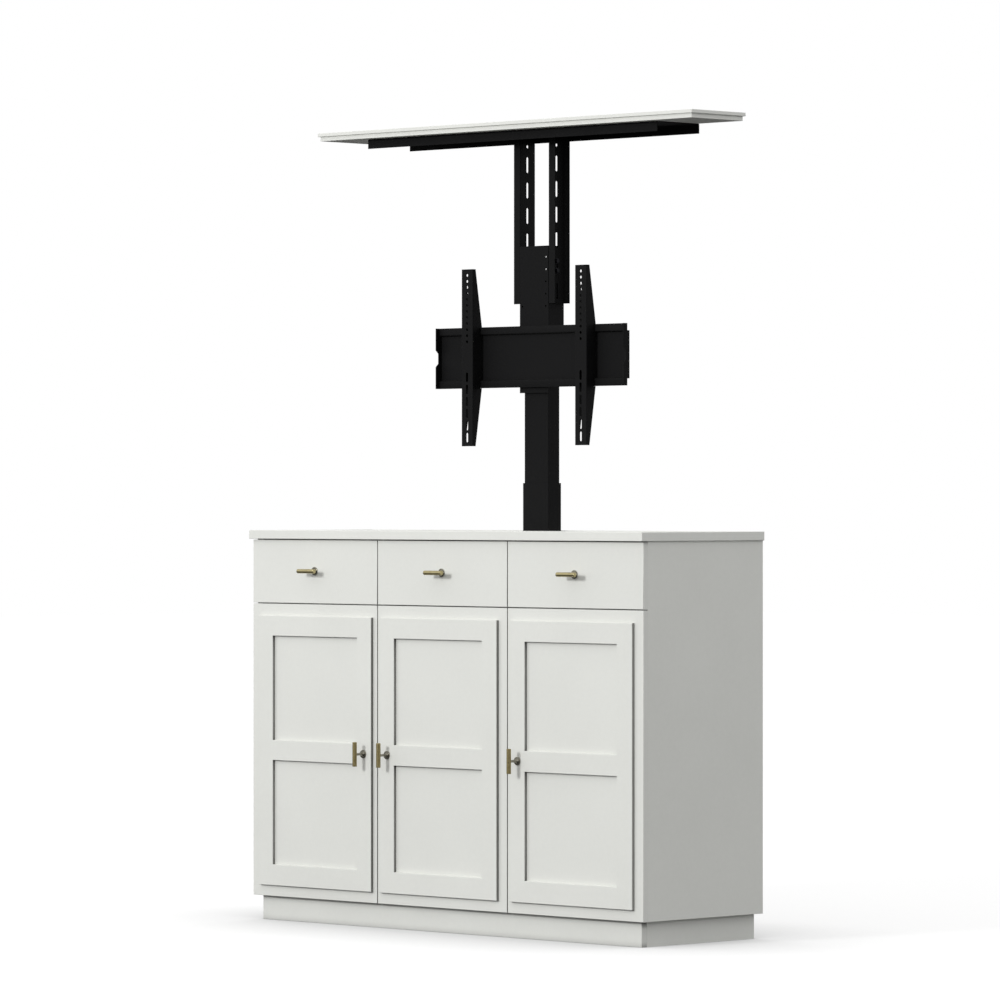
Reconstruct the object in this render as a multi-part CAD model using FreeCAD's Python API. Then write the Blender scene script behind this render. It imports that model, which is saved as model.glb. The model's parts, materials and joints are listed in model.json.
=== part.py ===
"""TV lift cabinet: a painted three-door, three-drawer cabinet with a telescopic television lift.

Millimetres, +Z up. The origin is on the floor under the middle of the cabinet body, the fronts
face -Y, and the lift is drawn fully raised. Every piece is written to parts/NODE.step.
"""
import FreeCAD
import Part
import os

Vec = FreeCAD.Vector

# ---------------------------------------------------------------- cabinet body
BODY_WIDTH = 1372.0
CARCASS_DEPTH = 406.4
BOARD = 18.0                  # carcass boards
BACK_BOARD = 9.0
PLINTH_HEIGHT = 61.5
BODY_HEIGHT = 907.5           # from the plinth's top to the slab's underside
PLINTH_BOARD = 18.0
PLINTH_FRONT_RECESS = 15.75
PLINTH_SIDE_RECESS = 20.4
PLINTH_BACK_RECESS = 9.9
FOOT_BOARD = 12.0
FOOT_BOARD_WIDTH = 300.0
BAY_LEDGE = 12.1              # from the slab's cut-out forward to the partition's back
SHELF_SETBACK = 10.0
SHELF_HEIGHT = 345.0          # from the base panel's top to a shelf's underside
SHELF_PLAY = 0.5
SHELF_PIN_RADIUS = 2.5
SHELF_PIN_LENGTH = 9.0
SHELF_PIN_INSET = 32.0
CABLE_PORT_RADIUS = 30.0
CABLE_PORT_MARGIN = 236.0     # from the body's ends
CABLE_PORT_HEIGHT = 90.0      # above the base panel
COLUMNS = 3

# ---------------------------------------------------------------- top slab
SLAB_THICKNESS = 22.0
SLAB_FRONT_OVERHANG = 10.4
SLAB_SIDE_OVERHANG = 5.45
SLAB_EDGE_ROUND = 1.5

# ---------------------------------------------------------------- doors and drawer fronts
FRONT_THICKNESS = 15.2
FRONT_GAP = 0.4               # between a closed front and the carcass
FRONT_EDGE_ROUND = 1.2
REVEAL = 2.5                  # between neighbouring fronts
DRAWER_ZONE = 163.6           # height of the drawers' zone, the doors fill the rest
FRAME_PROUD = 8.0
FRAME_EDGE_ROUND = 1.0
STILE_WIDTH = 51.0
RAIL_WIDTH = 51.0
BOTTOM_RAIL_WIDTH = 53.0
HINGE_MARGIN = 30.0           # from the column line to the raised frame
KNOB_MARGIN = 15.7
FRAME_BOTTOM_MARGIN = 28.0
FRAME_TOP_MARGIN = 31.4

# ---------------------------------------------------------------- hinges
HINGE_CUP_RADIUS = 17.5
HINGE_CUP_DEPTH = 11.0
HINGE_CUP_WALL = 1.2
HINGE_CUP_INSET = 22.5        # from the door's edge to the cup's axis
HINGE_EAR = 1.3
HINGE_EAR_START = 19.0        # from the door's edge, past the side board
HINGE_EAR_WIDTH = 18.0
HINGE_EAR_HEIGHT = 52.0
HINGE_INSET = 110.0           # from a door's end to its hinge
HINGE_PLATE = 3.0
HINGE_PLATE_HEIGHT = 50.0
HINGE_PLATE_DEPTH = 36.0
HINGE_PLATE_SETBACK = 28.0
HINGE_ARM_HEIGHT = 14.0
HINGE_ARM_REACH = 6.0         # past the cup's axis
HINGE_ARM_THICKNESS = 9.0
HINGE_ARM_NOSE = 5.0          # thickness of the arm's end over the cup
HINGE_SCREW_RADIUS = 3.5
HINGE_SCREW_HEAD = 1.2
HINGE_SCREW_PITCH = 32.0

# ---------------------------------------------------------------- knobs
KNOB_BAR_RADIUS = 5.6
KNOB_BAR_LENGTH = 61.0
KNOB_PROJECTION = 30.0        # from the face to the bar's axis
KNOB_NECK_RADIUS = 3.2
KNOB_FLARE_RADIUS = 7.2
KNOB_FLARE_LENGTH = 10.0
KNOB_ROSE_RADIUS = 10.4
KNOB_ROSE_THICKNESS = 2.6
KNOB_END_ROUND = 1.2
DOOR_KNOB_HEIGHT = 371.5      # above the door's lower edge
DOOR_KNOB_INSET = 27.0        # from the raised frame's edge
DRAWER_KNOB_HEIGHT = 82.6     # above the doors' zone

# ---------------------------------------------------------------- drawers
DRAWER_BOX_DEPTH = 148.0
DRAWER_BOX_HEIGHT = 118.0
DRAWER_WALL = 12.0
DRAWER_BOTTOM = 6.0
DRAWER_BOTTOM_RISE = 8.0      # the bottom's underside above the sides' lower edges
DRAWER_GROOVE = 4.0
DRAWER_SIDE_CLEARANCE = 4.0
DRAWER_DECK_CLEARANCE = 2.1
RUNNER_SIZE = 10.0
RUNNER_HEIGHT = 40.0          # above the drawer box's underside
RUNNER_LENGTH = 140.0

# ---------------------------------------------------------------- lift column
COLUMN_BACK_DISTANCE = 60.5   # from the column's axis to the back panel's inner face
TUBE_WALL = 1.5
INNER_TUBE_WIDTH = 83.2
INNER_TUBE_DEPTH = 41.4
MIDDLE_TUBE_WIDTH = 90.0
MIDDLE_TUBE_DEPTH = 46.4
OUTER_TUBE_WIDTH = 96.0
OUTER_TUBE_DEPTH = 50.6
TUBE_ROUND = 2.0
MIDDLE_TUBE_EXPOSED = 119.0   # above the slab's top
STAGE_STEP = 6.0              # height step between closed stages
STAGE_GROUND = 2.0            # clearance under the closed stages
GLIDE_HEIGHT = 40.0
FOOT_PLATE = 8.0
FOOT_PLATE_WIDTH = 220.0
FOOT_PLATE_DEPTH = 108.0
FOOT_PLATE_ROUND = 6.0
SPINDLE_RADIUS = 6.0
SPINDLE_OFFSET = 16.0         # each spindle's axis from the column's middle
SPINDLE_PASS_RADIUS = 8.0     # hole that a spindle passes through freely
SPINDLE_TIP = 8.0             # spindle's end past its nut when the lift is up
NUT_PLATE = 10.0
BRACKET_THICKNESS = 3.0
BRACKET_HEIGHT = 50.0
BRACKET_WIDTH = 140.0
BRACKET_LEVEL = 180.0         # above the base panel
MOTOR_RADIUS = 24.0
MOTOR_LENGTH = 120.0
MOTOR_RING_RADIUS = 25.2
MOTOR_RING_WIDTH = 8.0
MOTOR_RINGS = 3
GEARBOX_WIDTH = 58.0
GEARBOX_DEPTH = 50.0
GEARBOX_HEIGHT = 74.0
GEARBOX_ROUND = 4.0
GEARBOX_SCREW_INSET = 8.0
CONTROL_BOX_WIDTH = 190.0
CONTROL_BOX_DEPTH = 96.0
CONTROL_BOX_HEIGHT = 42.0
CONTROL_BOX_MARGIN = 306.0    # from the body's left end to the box's middle
CONTROL_BOX_ROUND = 5.0
CONTROL_BOX_SEAM = 0.8
CONTROL_BOX_VENTS = 7
CONTROL_BOX_VENT_PITCH = 9.0
CONTROL_BOX_VENT_LENGTH = 46.0
CONTROL_BOX_VENT_DEPTH = 1.6
SOCKET_WIDTH = 12.0
SOCKET_HEIGHT = 9.0
SOCKET_PITCH = 22.0
INLET_WIDTH = 27.0
INLET_HEIGHT = 20.0
INLET_DEPTH = 16.0

# ---------------------------------------------------------------- lift head
HEAD_WIDTH = 100.0
HEAD_WALL = 1.5
HEAD_FRONT_WALL = 2.5
HEAD_RUN_CLEARANCE = 0.6      # in front of the outer tube
HEAD_REAR_CLEARANCE = 0.3
HEAD_CAP = 3.0
HEAD_SKIRT = 262.0            # length of the head's box below its cap
HEAD_TONGUE_DROP = 26.0       # front plate below the box
HEAD_TONGUE_RISE = 80.0       # front plate above the box
HEAD_HOLE_RADIUS = 2.4
HEAD_HOLE_PITCH = 30.75
HEAD_HOLE_OFFSET = 41.0
HEAD_HOLE_RISE = 49.2         # lowest row above the rail

# ---------------------------------------------------------------- television bracket
RAIL_LENGTH = 661.6
RAIL_HEIGHT = 153.7
RAIL_BOTTOM_RISE = 14.0       # above the head's lower end
RAIL_LIP = 20.0
RAIL_STEP = 7.8
RAIL_SHEET = 2.5
SHEET_BEND = 1.0              # inside radius of the folds
RAIL_END_FLANGE = 19.0
RAIL_NOTCH_HEIGHT = 43.0
RAIL_NOTCH_DEPTH = 9.0
ARM_SPACING = 400.0
ARM_WIDTH = 40.0
ARM_LENGTH = 446.7
ARM_SHEET = 2.5
ARM_STANDOFF = 28.3           # from the arm's face to the rail's lips
ARM_END_DEPTH = 11.0
ARM_HOOK = 2.4
ARM_HOOK_DROP = 8.0
ARM_RISE = 146.5              # arm's top above the rail's top
ARM_HOLE_RADIUS = 3.75
ARM_HOLE_PITCH = 15.25
ARM_HOLES = 12
ARM_SLOT_LENGTH = 24.5
ARM_SLOT_PITCH = 30.4
ARM_SLOTS = 6
ARM_HOLE_MARGIN = 15.2
ARM_SLOT_MARGIN = 21.8
ARM_EDGE_ROUND = 2.5

# ---------------------------------------------------------------- mast, tray and lid
MAST_FLANGE = 21.0
MAST_SHEET = 2.5
MAST_ROUND = 3.0
MAST_DROP = 144.2             # mast's lower end under the head's front plate top
MAST_SLOT_LENGTH = 40.0
MAST_SLOT_WIDTH = 8.0
MAST_SLOT_PITCH = 64.0
MAST_SLOTS = 6
MAST_TOP_MARGIN = 31.8        # from the mast's top to its upper hole
MAST_SLOT_DROP = 46.0         # from the upper hole to the first slot's middle
TRAY_END_MARGIN = 149.35      # from the lid's end to the tray's
TRAY_FRONT_MARGIN = 42.1
TRAY_HEIGHT = 24.4
TRAY_SHEET = 2.0
LID_END_MARGIN = 28.15        # from the body's end to the lid's
LID_BACK_MARGIN = 31.0
LID_COVER = 8.85
LID_PLUG = 11.3
LID_LIP = 5.2
LID_GAP = 1.5
LID_EDGE_ROUND = 1.0
LID_FRONT_SETBACK = 198.4     # from the fronts' face to the lid's front edge
LIFT_HEIGHT = 1018.7          # raised lid's top above the slab's top

# ---------------------------------------------------------------- bolts and screws of the head
BOLT_RADIUS = 3.0
BOLT_HOLE_RADIUS = 3.3
BOLT_HEAD_RADIUS = 5.6
BOLT_HEAD_HEIGHT = 4.0
BOLT_SPREAD = 12.0            # from a slot's middle to its two bolts
BOLT_SLOT = 4                 # number of the slot, from above, that takes the bolts
WASHER_RADIUS = 7.0
WASHER_THICKNESS = 1.2
NUT_HEIGHT = 5.0
SCREW_RADIUS = 2.0
SCREW_HEAD_RADIUS = 4.0
SCREW_HEAD_HEIGHT = 1.8
SCREW_LENGTH = 9.0            # under the head
TRAY_SCREWS = 4               # along each side of the tray
TRAY_SCREW_INSET = 28.0
MAST_SCREW_INSET = 12.0       # from the mast's web and faces

# ---------------------------------------------------------------- fits
SLIDE_GAP = 0.3
HOLE_CLEARANCE = 1.0
BORE_CLEARANCE = 0.1

# ---------------------------------------------------------------- derived places
HALF = BODY_WIDTH / 2
BODY_DEPTH = FRONT_THICKNESS + FRONT_GAP + CARCASS_DEPTH
FRONT_Y = -BODY_DEPTH / 2
BACK_Y = BODY_DEPTH / 2
CARCASS_Y = FRONT_Y + FRONT_THICKNESS + FRONT_GAP
BACK_INNER_Y = BACK_Y - BACK_BOARD
LID_LENGTH = BODY_WIDTH - 2 * LID_END_MARGIN
LID_DEPTH = BODY_DEPTH - LID_FRONT_SETBACK - LID_BACK_MARGIN
LID_Y = FRONT_Y + LID_FRONT_SETBACK
CUTOUT_Y = LID_Y + LID_LIP - LID_GAP
TRAY_LENGTH = LID_LENGTH - 2 * TRAY_END_MARGIN
TRAY_DEPTH = LID_DEPTH - TRAY_FRONT_MARGIN
PARTITION_BACK_Y = CUTOUT_Y - BAY_LEDGE
PARTITION_Y = PARTITION_BACK_Y - BOARD
CABLE_PORT_SPACING = BODY_WIDTH - 2 * CABLE_PORT_MARGIN
CONTROL_BOX_OFFSET = HALF - CONTROL_BOX_MARGIN
BODY_TOP = PLINTH_HEIGHT + BODY_HEIGHT
SLAB_TOP = BODY_TOP + SLAB_THICKNESS
BASE_TOP = PLINTH_HEIGHT + BOARD
SEAM_Z = BODY_TOP - DRAWER_ZONE
DECK_TOP = SEAM_Z + BOARD / 2
COLUMN_WIDTH = BODY_WIDTH / COLUMNS
LINES = [-HALF + COLUMN_WIDTH * index for index in range(COLUMNS + 1)]
NAMES = ["left", "centre", "right"]
HINGED_LEFT = [True, False, False]

LID_TOP = SLAB_TOP + LIFT_HEIGHT
LID_UNDER = LID_TOP - LID_COVER
TRAVEL = LID_UNDER - SLAB_TOP - SLIDE_GAP
STAGE_TRAVEL = TRAVEL / 2
TRAY_TOP = LID_UNDER - LID_PLUG

COLUMN_Y = BACK_INNER_Y - COLUMN_BACK_DISTANCE
FOOT_TOP = FOOT_BOARD + FOOT_PLATE
MIDDLE_TOP = SLAB_TOP + MIDDLE_TUBE_EXPOSED
OUTER_TOP = MIDDLE_TOP - STAGE_TRAVEL - STAGE_STEP
MIDDLE_BOTTOM = FOOT_TOP + STAGE_GROUND + STAGE_TRAVEL
MIDDLE_FLOOR = MIDDLE_BOTTOM + NUT_PLATE
INNER_TOP = MIDDLE_TOP - STAGE_TRAVEL + STAGE_STEP + TRAVEL
INNER_BOTTOM = MIDDLE_FLOOR + STAGE_GROUND + STAGE_TRAVEL
HEAD_TOP = INNER_TOP + HEAD_CAP
HEAD_BOTTOM = HEAD_TOP - HEAD_SKIRT
TONGUE_BOTTOM = HEAD_BOTTOM - HEAD_TONGUE_DROP
TONGUE_TOP = HEAD_TOP + HEAD_TONGUE_RISE
HEAD_Y = COLUMN_Y - OUTER_TUBE_DEPTH / 2 - HEAD_RUN_CLEARANCE - HEAD_FRONT_WALL
HEAD_BACK_Y = COLUMN_Y + OUTER_TUBE_DEPTH / 2 + HEAD_REAR_CLEARANCE + HEAD_WALL
RAIL_BOTTOM = TONGUE_BOTTOM + RAIL_BOTTOM_RISE
RAIL_TOP = RAIL_BOTTOM + RAIL_HEIGHT
LIP_Y = HEAD_Y - RAIL_SHEET - RAIL_STEP
ARM_Y = LIP_Y - ARM_STANDOFF
ARM_TOP = RAIL_TOP + ARM_RISE
MAST_TOP = TRAY_TOP - TRAY_SHEET
MAST_BOTTOM = TONGUE_TOP - MAST_DROP
MAST_HOLE_Z = MAST_TOP - MAST_TOP_MARGIN
MAST_Y = (HEAD_Y + HEAD_BACK_Y) / 2
TRAY_BACK_Y = LID_Y + LID_DEPTH - LID_LIP - SLIDE_GAP


def block(x0, x1, y0, y1, z0, z1):
    """A box between two corners."""
    return Part.makeBox(x1 - x0, y1 - y0, z1 - z0, Vec(x0, y0, z0))


def polygon_face(points):
    """A flat face inside a closed polygon."""
    return Part.Face(Part.makePolygon(points + [points[0]]))


def edges_along(shape, axis, picked=lambda middle: True):
    """The straight edges of a shape that run along an axis and whose middle is picked."""
    found = []
    for edge in shape.Edges:
        first = edge.valueAt(edge.FirstParameter)
        last = edge.valueAt(edge.LastParameter)
        step = last - first
        if step.Length > 0 and abs(abs(step.dot(axis)) - step.Length) < 1e-6:
            if picked((first + last) * 0.5):
                found.append(edge)
    return found


def slot_cutter(centre, half_length, radius, depth, normal, run):
    """A slot-shaped cutter: two round ends joined by a straight body."""
    start = centre - normal * (depth / 2)
    side = normal.cross(run)
    ends = [Part.makeCylinder(radius, depth, start + run * shift, normal)
            for shift in (half_length - radius, radius - half_length)]
    corners = [start + run * (a * (half_length - radius)) + side * (b * radius)
               for a, b in ((1, 1), (-1, 1), (-1, -1), (1, -1))]
    body = polygon_face(corners).extrude(normal * depth)
    return body.fuse(ends)


def tube(width, depth, bottom, top):
    """A rounded rectangular tube on the column's axis."""
    outside = block(-width / 2, width / 2, COLUMN_Y - depth / 2, COLUMN_Y + depth / 2, bottom, top)
    outside = outside.makeFillet(TUBE_ROUND, edges_along(outside, Vec(0, 0, 1)))
    half_width = width / 2 - TUBE_WALL
    half_depth = depth / 2 - TUBE_WALL
    inside = block(-half_width, half_width, COLUMN_Y - half_depth, COLUMN_Y + half_depth,
                   bottom - 1, top + 1)
    inside = inside.makeFillet(TUBE_ROUND - TUBE_WALL, edges_along(inside, Vec(0, 0, 1)))
    return outside.cut(inside)


# ---------------------------------------------------------------- plinth and carcass
def plinth():
    """Four boards set back under the body, and the foot board that carries the lift."""
    left = -HALF + PLINTH_SIDE_RECESS
    right = HALF - PLINTH_SIDE_RECESS
    front = FRONT_Y + PLINTH_FRONT_RECESS
    back = BACK_Y - PLINTH_BACK_RECESS
    inner_front = front + PLINTH_BOARD
    inner_back = back - PLINTH_BOARD
    half_foot = FOOT_BOARD_WIDTH / 2
    return {
        "plinth_front": block(left, right, front, inner_front, 0, PLINTH_HEIGHT),
        "plinth_frame": Part.makeCompound([
            block(left, right, inner_back, back, 0, PLINTH_HEIGHT),
            block(left, left + PLINTH_BOARD, inner_front, inner_back, 0, PLINTH_HEIGHT),
            block(right - PLINTH_BOARD, right, inner_front, inner_back, 0, PLINTH_HEIGHT)]),
        "foot_board": block(-half_foot, half_foot, inner_front, inner_back, 0, FOOT_BOARD),
    }


def base_panel():
    """The bottom board, with a cut-out that the lift's outer tube passes through."""
    board = block(-HALF + BOARD, HALF - BOARD, CARCASS_Y, BACK_INNER_Y, PLINTH_HEIGHT, BASE_TOP)
    half_width = OUTER_TUBE_WIDTH / 2 + HOLE_CLEARANCE
    half_depth = OUTER_TUBE_DEPTH / 2 + HOLE_CLEARANCE
    hole = block(-half_width, half_width, COLUMN_Y - half_depth, COLUMN_Y + half_depth,
                 PLINTH_HEIGHT - 1, BASE_TOP + 1)
    return board.cut(hole)


def back_panel():
    """The back board with its two cable ports."""
    board = block(-HALF + BOARD, HALF - BOARD, BACK_INNER_Y, BACK_Y, PLINTH_HEIGHT, BODY_TOP)
    for side in (-1, 1):
        start = Vec(side * CABLE_PORT_SPACING / 2, BACK_INNER_Y - 1, BASE_TOP + CABLE_PORT_HEIGHT)
        board = board.cut(Part.makeCylinder(CABLE_PORT_RADIUS, BACK_BOARD + 2, start, Vec(0, 1, 0)))
    return board


def carcass():
    """Sides, base, back, partition and the two dividers."""
    nodes = {
        "side_left": block(-HALF, -HALF + BOARD, CARCASS_Y, BACK_Y, PLINTH_HEIGHT, BODY_TOP),
        "side_right": block(HALF - BOARD, HALF, CARCASS_Y, BACK_Y, PLINTH_HEIGHT, BODY_TOP),
        "base_panel": base_panel(),
        "back_panel": back_panel(),
        "partition": block(-HALF + BOARD, HALF - BOARD, PARTITION_Y, PARTITION_BACK_Y, BASE_TOP, BODY_TOP),
    }
    for name, line in (("divider_left", LINES[1]), ("divider_right", LINES[2])):
        nodes[name] = block(line - BOARD / 2, line + BOARD / 2, CARCASS_Y, PARTITION_Y, BASE_TOP, BODY_TOP)
    return nodes


def bay(index):
    """The clear width of a column: the faces of the boards on its left and right."""
    left = LINES[index] + (BOARD if index == 0 else BOARD / 2)
    right = LINES[index + 1] - (BOARD if index == COLUMNS - 1 else BOARD / 2)
    return left, right


def shelves():
    """In each column, a deck under the drawer and a shelf on four pins behind the door."""
    shelf_z = BASE_TOP + SHELF_HEIGHT
    decks = []
    boards = []
    pins = []
    for index in range(COLUMNS):
        left, right = bay(index)
        decks.append(block(left, right, CARCASS_Y, PARTITION_Y, DECK_TOP - BOARD, DECK_TOP))
        front = CARCASS_Y + SHELF_SETBACK
        boards.append(block(left + SHELF_PLAY, right - SHELF_PLAY, front, PARTITION_Y - SHELF_PLAY,
                            shelf_z, shelf_z + BOARD))
        for y in (front + SHELF_PIN_INSET, PARTITION_Y - SHELF_PIN_INSET):
            for face, way in ((left, 1), (right, -1)):
                start = Vec(face, y, shelf_z - SHELF_PIN_RADIUS)
                pins.append(Part.makeCylinder(SHELF_PIN_RADIUS, SHELF_PIN_LENGTH, start, Vec(way, 0, 0)))
    return {"drawer_decks": Part.makeCompound(decks), "shelves": Part.makeCompound(boards),
            "shelf_pins": Part.makeCompound(pins)}


def top_slab():
    """The top with the long cut-out that the lid closes."""
    slab = block(-HALF - SLAB_SIDE_OVERHANG, HALF + SLAB_SIDE_OVERHANG,
                 FRONT_Y - SLAB_FRONT_OVERHANG, BACK_Y, BODY_TOP, SLAB_TOP)
    front = FRONT_Y - SLAB_FRONT_OVERHANG
    rounded = [edge for edge in edges_along(slab, Vec(1, 0, 0)) if abs(edge.CenterOfMass.y - front) < 1e-6]
    rounded += edges_along(slab, Vec(0, 1, 0))
    slab = slab.makeFillet(SLAB_EDGE_ROUND, rounded)
    reach = LID_LENGTH / 2 - LID_LIP + LID_GAP
    return slab.cut(block(-reach, reach, CUTOUT_Y, LID_Y + LID_DEPTH - LID_LIP + LID_GAP,
                          BODY_TOP - 1, SLAB_TOP + 1))


# ---------------------------------------------------------------- knobs
def knob(bar_run):
    """A T knob on the plane y = 0: rose, flared neck and a round bar along bar_run."""
    flare_y = -KNOB_ROSE_THICKNESS - KNOB_FLARE_LENGTH
    bar_y = -KNOB_PROJECTION
    outline = [Vec(0, 0, 0), Vec(KNOB_ROSE_RADIUS, 0, 0), Vec(KNOB_ROSE_RADIUS, -KNOB_ROSE_THICKNESS, 0),
               Vec(KNOB_FLARE_RADIUS, -KNOB_ROSE_THICKNESS, 0)]
    flare_end = Vec(KNOB_NECK_RADIUS, flare_y, 0)
    bulge = Vec(KNOB_NECK_RADIUS + 0.24 * (KNOB_FLARE_RADIUS - KNOB_NECK_RADIUS),
                -KNOB_ROSE_THICKNESS - 0.5 * KNOB_FLARE_LENGTH, 0)
    pieces = [Part.makePolygon(outline), Part.Arc(outline[-1], bulge, flare_end).toShape(),
              Part.makePolygon([flare_end, Vec(KNOB_NECK_RADIUS, bar_y, 0), Vec(0, bar_y, 0), Vec(0, 0, 0)])]
    edges = [edge for piece in pieces for edge in piece.Edges]
    neck = Part.Face(Part.Wire(edges)).revolve(Vec(0, 0, 0), Vec(0, 1, 0), 360)
    start = Vec(0, bar_y, 0) - bar_run * (KNOB_BAR_LENGTH / 2)
    bar = Part.makeCylinder(KNOB_BAR_RADIUS, KNOB_BAR_LENGTH, start, bar_run)
    bar = bar.makeFillet(KNOB_END_ROUND, [edge for edge in bar.Edges if edge.Length < 7 * KNOB_BAR_RADIUS
                                          and edge.Closed])
    return neck.fuse(bar)


# ---------------------------------------------------------------- doors
def door_span(index):
    """The left and right edges of a column's fronts, with their reveals."""
    left = LINES[index] + (0 if index == 0 else REVEAL / 2)
    right = LINES[index + 1] - (0 if index == COLUMNS - 1 else REVEAL / 2)
    return left, right


def hinge_side(index):
    """Where a door is hinged: its edge, the direction into the door and the board that carries it."""
    left, right = door_span(index)
    bay_left, bay_right = bay(index)
    if HINGED_LEFT[index]:
        return left, 1, bay_left
    return right, -1, bay_right


def hinge_levels():
    """Heights of the two hinges of a door."""
    return (PLINTH_HEIGHT + HINGE_INSET, SEAM_Z - HINGE_INSET)


def softened(piece, rounding):
    """A front piece with the edges of its front face rounded."""
    front = min(vertex.Y for vertex in piece.Vertexes)
    edges = [edge for edge in piece.Edges if abs(edge.CenterOfMass.y - front) < 1e-6]
    return piece.makeFillet(rounding, edges)


def door_panel(index):
    """The flat door board with its two hinge-cup bores."""
    left, right = door_span(index)
    back = FRONT_Y + FRONT_THICKNESS
    panel = block(left, right, FRONT_Y, back, PLINTH_HEIGHT, SEAM_Z - REVEAL / 2)
    panel = softened(panel, FRONT_EDGE_ROUND)
    edge, way, _ = hinge_side(index)
    for level in hinge_levels():
        start = Vec(edge + way * HINGE_CUP_INSET, back - HINGE_CUP_DEPTH, level)
        panel = panel.cut(Part.makeCylinder(HINGE_CUP_RADIUS + BORE_CLEARANCE, HINGE_CUP_DEPTH + 1,
                                            start, Vec(0, 1, 0)))
    return panel


def frame_edges(index):
    """The raised frame's left and right edges."""
    margins = (HINGE_MARGIN, KNOB_MARGIN) if HINGED_LEFT[index] else (KNOB_MARGIN, HINGE_MARGIN)
    return LINES[index] + margins[0], LINES[index + 1] - margins[1]


def door_frame(index):
    """The applied two-panel frame: two stiles and three rails, flush with each other.

    The frame is rounded as one piece and parted afterwards, so no rounding runs along a joint.
    """
    left, right = frame_edges(index)
    bottom = PLINTH_HEIGHT + FRAME_BOTTOM_MARGIN
    top = SEAM_Z - FRAME_TOP_MARGIN
    inner_left = left + STILE_WIDTH
    inner_right = right - STILE_WIDTH
    window = (top - bottom - BOTTOM_RAIL_WIDTH - 2 * RAIL_WIDTH) / 2
    lower = bottom + BOTTOM_RAIL_WIDTH
    upper = lower + window + RAIL_WIDTH
    y0 = FRONT_Y - FRAME_PROUD
    frame = block(left, right, y0, FRONT_Y, bottom, top)
    for low in (lower, upper):
        frame = frame.cut(block(inner_left, inner_right, y0 - 1, FRONT_Y + 1, low, low + window))
    frame = softened(frame, FRAME_EDGE_ROUND)
    zones = [(left, inner_left, bottom, top), (inner_right, right, bottom, top),
             (inner_left, inner_right, bottom, lower), (inner_left, inner_right, lower + window, upper),
             (inner_left, inner_right, upper + window, top)]
    return Part.makeCompound([frame.common(block(x0, x1, y0, FRONT_Y, z0, z1)) for x0, x1, z0, z1 in zones])


def door_knob(index):
    """The upright knob near the door's free edge."""
    left, right = frame_edges(index)
    x = right - DOOR_KNOB_INSET if HINGED_LEFT[index] else left + DOOR_KNOB_INSET
    piece = knob(Vec(0, 0, 1))
    piece.translate(Vec(x, FRONT_Y - FRAME_PROUD, PLINTH_HEIGHT + DOOR_KNOB_HEIGHT))
    return piece


def hinge_cups(index):
    """The open cups of a door's two concealed hinges, each with a screwed-on ear."""
    edge, way, _ = hinge_side(index)
    back = FRONT_Y + FRONT_THICKNESS
    x = edge + way * HINGE_CUP_INSET
    ear_x = edge + way * (HINGE_EAR_START + HINGE_EAR_WIDTH / 2)
    cups = []
    for level in hinge_levels():
        floor = Vec(x, back - HINGE_CUP_DEPTH, level)
        cup = Part.makeCylinder(HINGE_CUP_RADIUS, HINGE_CUP_DEPTH, floor, Vec(0, 1, 0))
        ear = block(ear_x - HINGE_EAR_WIDTH / 2, ear_x + HINGE_EAR_WIDTH / 2, back, back + HINGE_EAR,
                    level - HINGE_EAR_HEIGHT / 2, level + HINGE_EAR_HEIGHT / 2)
        hollow = Part.makeCylinder(HINGE_CUP_RADIUS - HINGE_CUP_WALL, HINGE_CUP_DEPTH + HINGE_EAR,
                                   floor + Vec(0, HINGE_CUP_WALL, 0), Vec(0, 1, 0))
        cups.append(cup.fuse(ear).removeSplitter().cut(hollow))
    return Part.makeCompound(cups)


def hinge_arm(face, way, nose_x, level):
    """A mounting plate on a board's face and the cranked arm that reaches over the cup."""
    inner = face + way * HINGE_PLATE
    ridge = inner + way * HINGE_ARM_THICKNESS
    plate_y = CARCASS_Y + HINGE_PLATE_SETBACK
    back_y = plate_y + HINGE_PLATE_DEPTH
    nose_y = FRONT_Y + FRONT_THICKNESS + HINGE_EAR + SLIDE_GAP
    half = HINGE_PLATE_HEIGHT / 2
    plate = block(min(face, inner), max(face, inner), plate_y, back_y, level - half, level + half)
    if way * (nose_x - ridge) > 0:
        outline = [(inner, nose_y), (nose_x, nose_y), (nose_x, nose_y + HINGE_ARM_NOSE),
                   (ridge, nose_y + 2 * HINGE_ARM_NOSE), (ridge, back_y), (inner, back_y)]
    else:
        outline = [(inner, nose_y), (ridge, nose_y), (ridge, back_y), (inner, back_y)]
    low = level - HINGE_ARM_HEIGHT / 2
    arm = polygon_face([Vec(x, y, low) for x, y in outline]).extrude(Vec(0, 0, HINGE_ARM_HEIGHT))
    heads = [Part.makeCylinder(HINGE_SCREW_RADIUS, HINGE_SCREW_HEAD,
                               Vec(inner, (plate_y + back_y) / 2, level + shift), Vec(way, 0, 0))
             for shift in (-HINGE_SCREW_PITCH / 2, HINGE_SCREW_PITCH / 2)]
    heads.append(Part.makeCylinder(HINGE_SCREW_RADIUS, HINGE_SCREW_HEAD,
                                   Vec(ridge, back_y - 2 * HINGE_SCREW_RADIUS, level), Vec(way, 0, 0)))
    return plate.fuse([arm] + heads).removeSplitter()


def hinge_arms():
    """The fixed halves of all the hinges, screwed to the boards beside the doors."""
    arms = []
    for index in range(COLUMNS):
        edge, way, face = hinge_side(index)
        nose_x = edge + way * (HINGE_CUP_INSET + HINGE_ARM_REACH)
        for level in hinge_levels():
            arms.append(hinge_arm(face, way, nose_x, level))
    return Part.makeCompound(arms)


# ---------------------------------------------------------------- drawers
def drawer_front(index):
    """The flat drawer front."""
    left, right = door_span(index)
    front = block(left, right, FRONT_Y, FRONT_Y + FRONT_THICKNESS, SEAM_Z + REVEAL / 2, BODY_TOP - REVEAL)
    return softened(front, FRONT_EDGE_ROUND)


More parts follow.
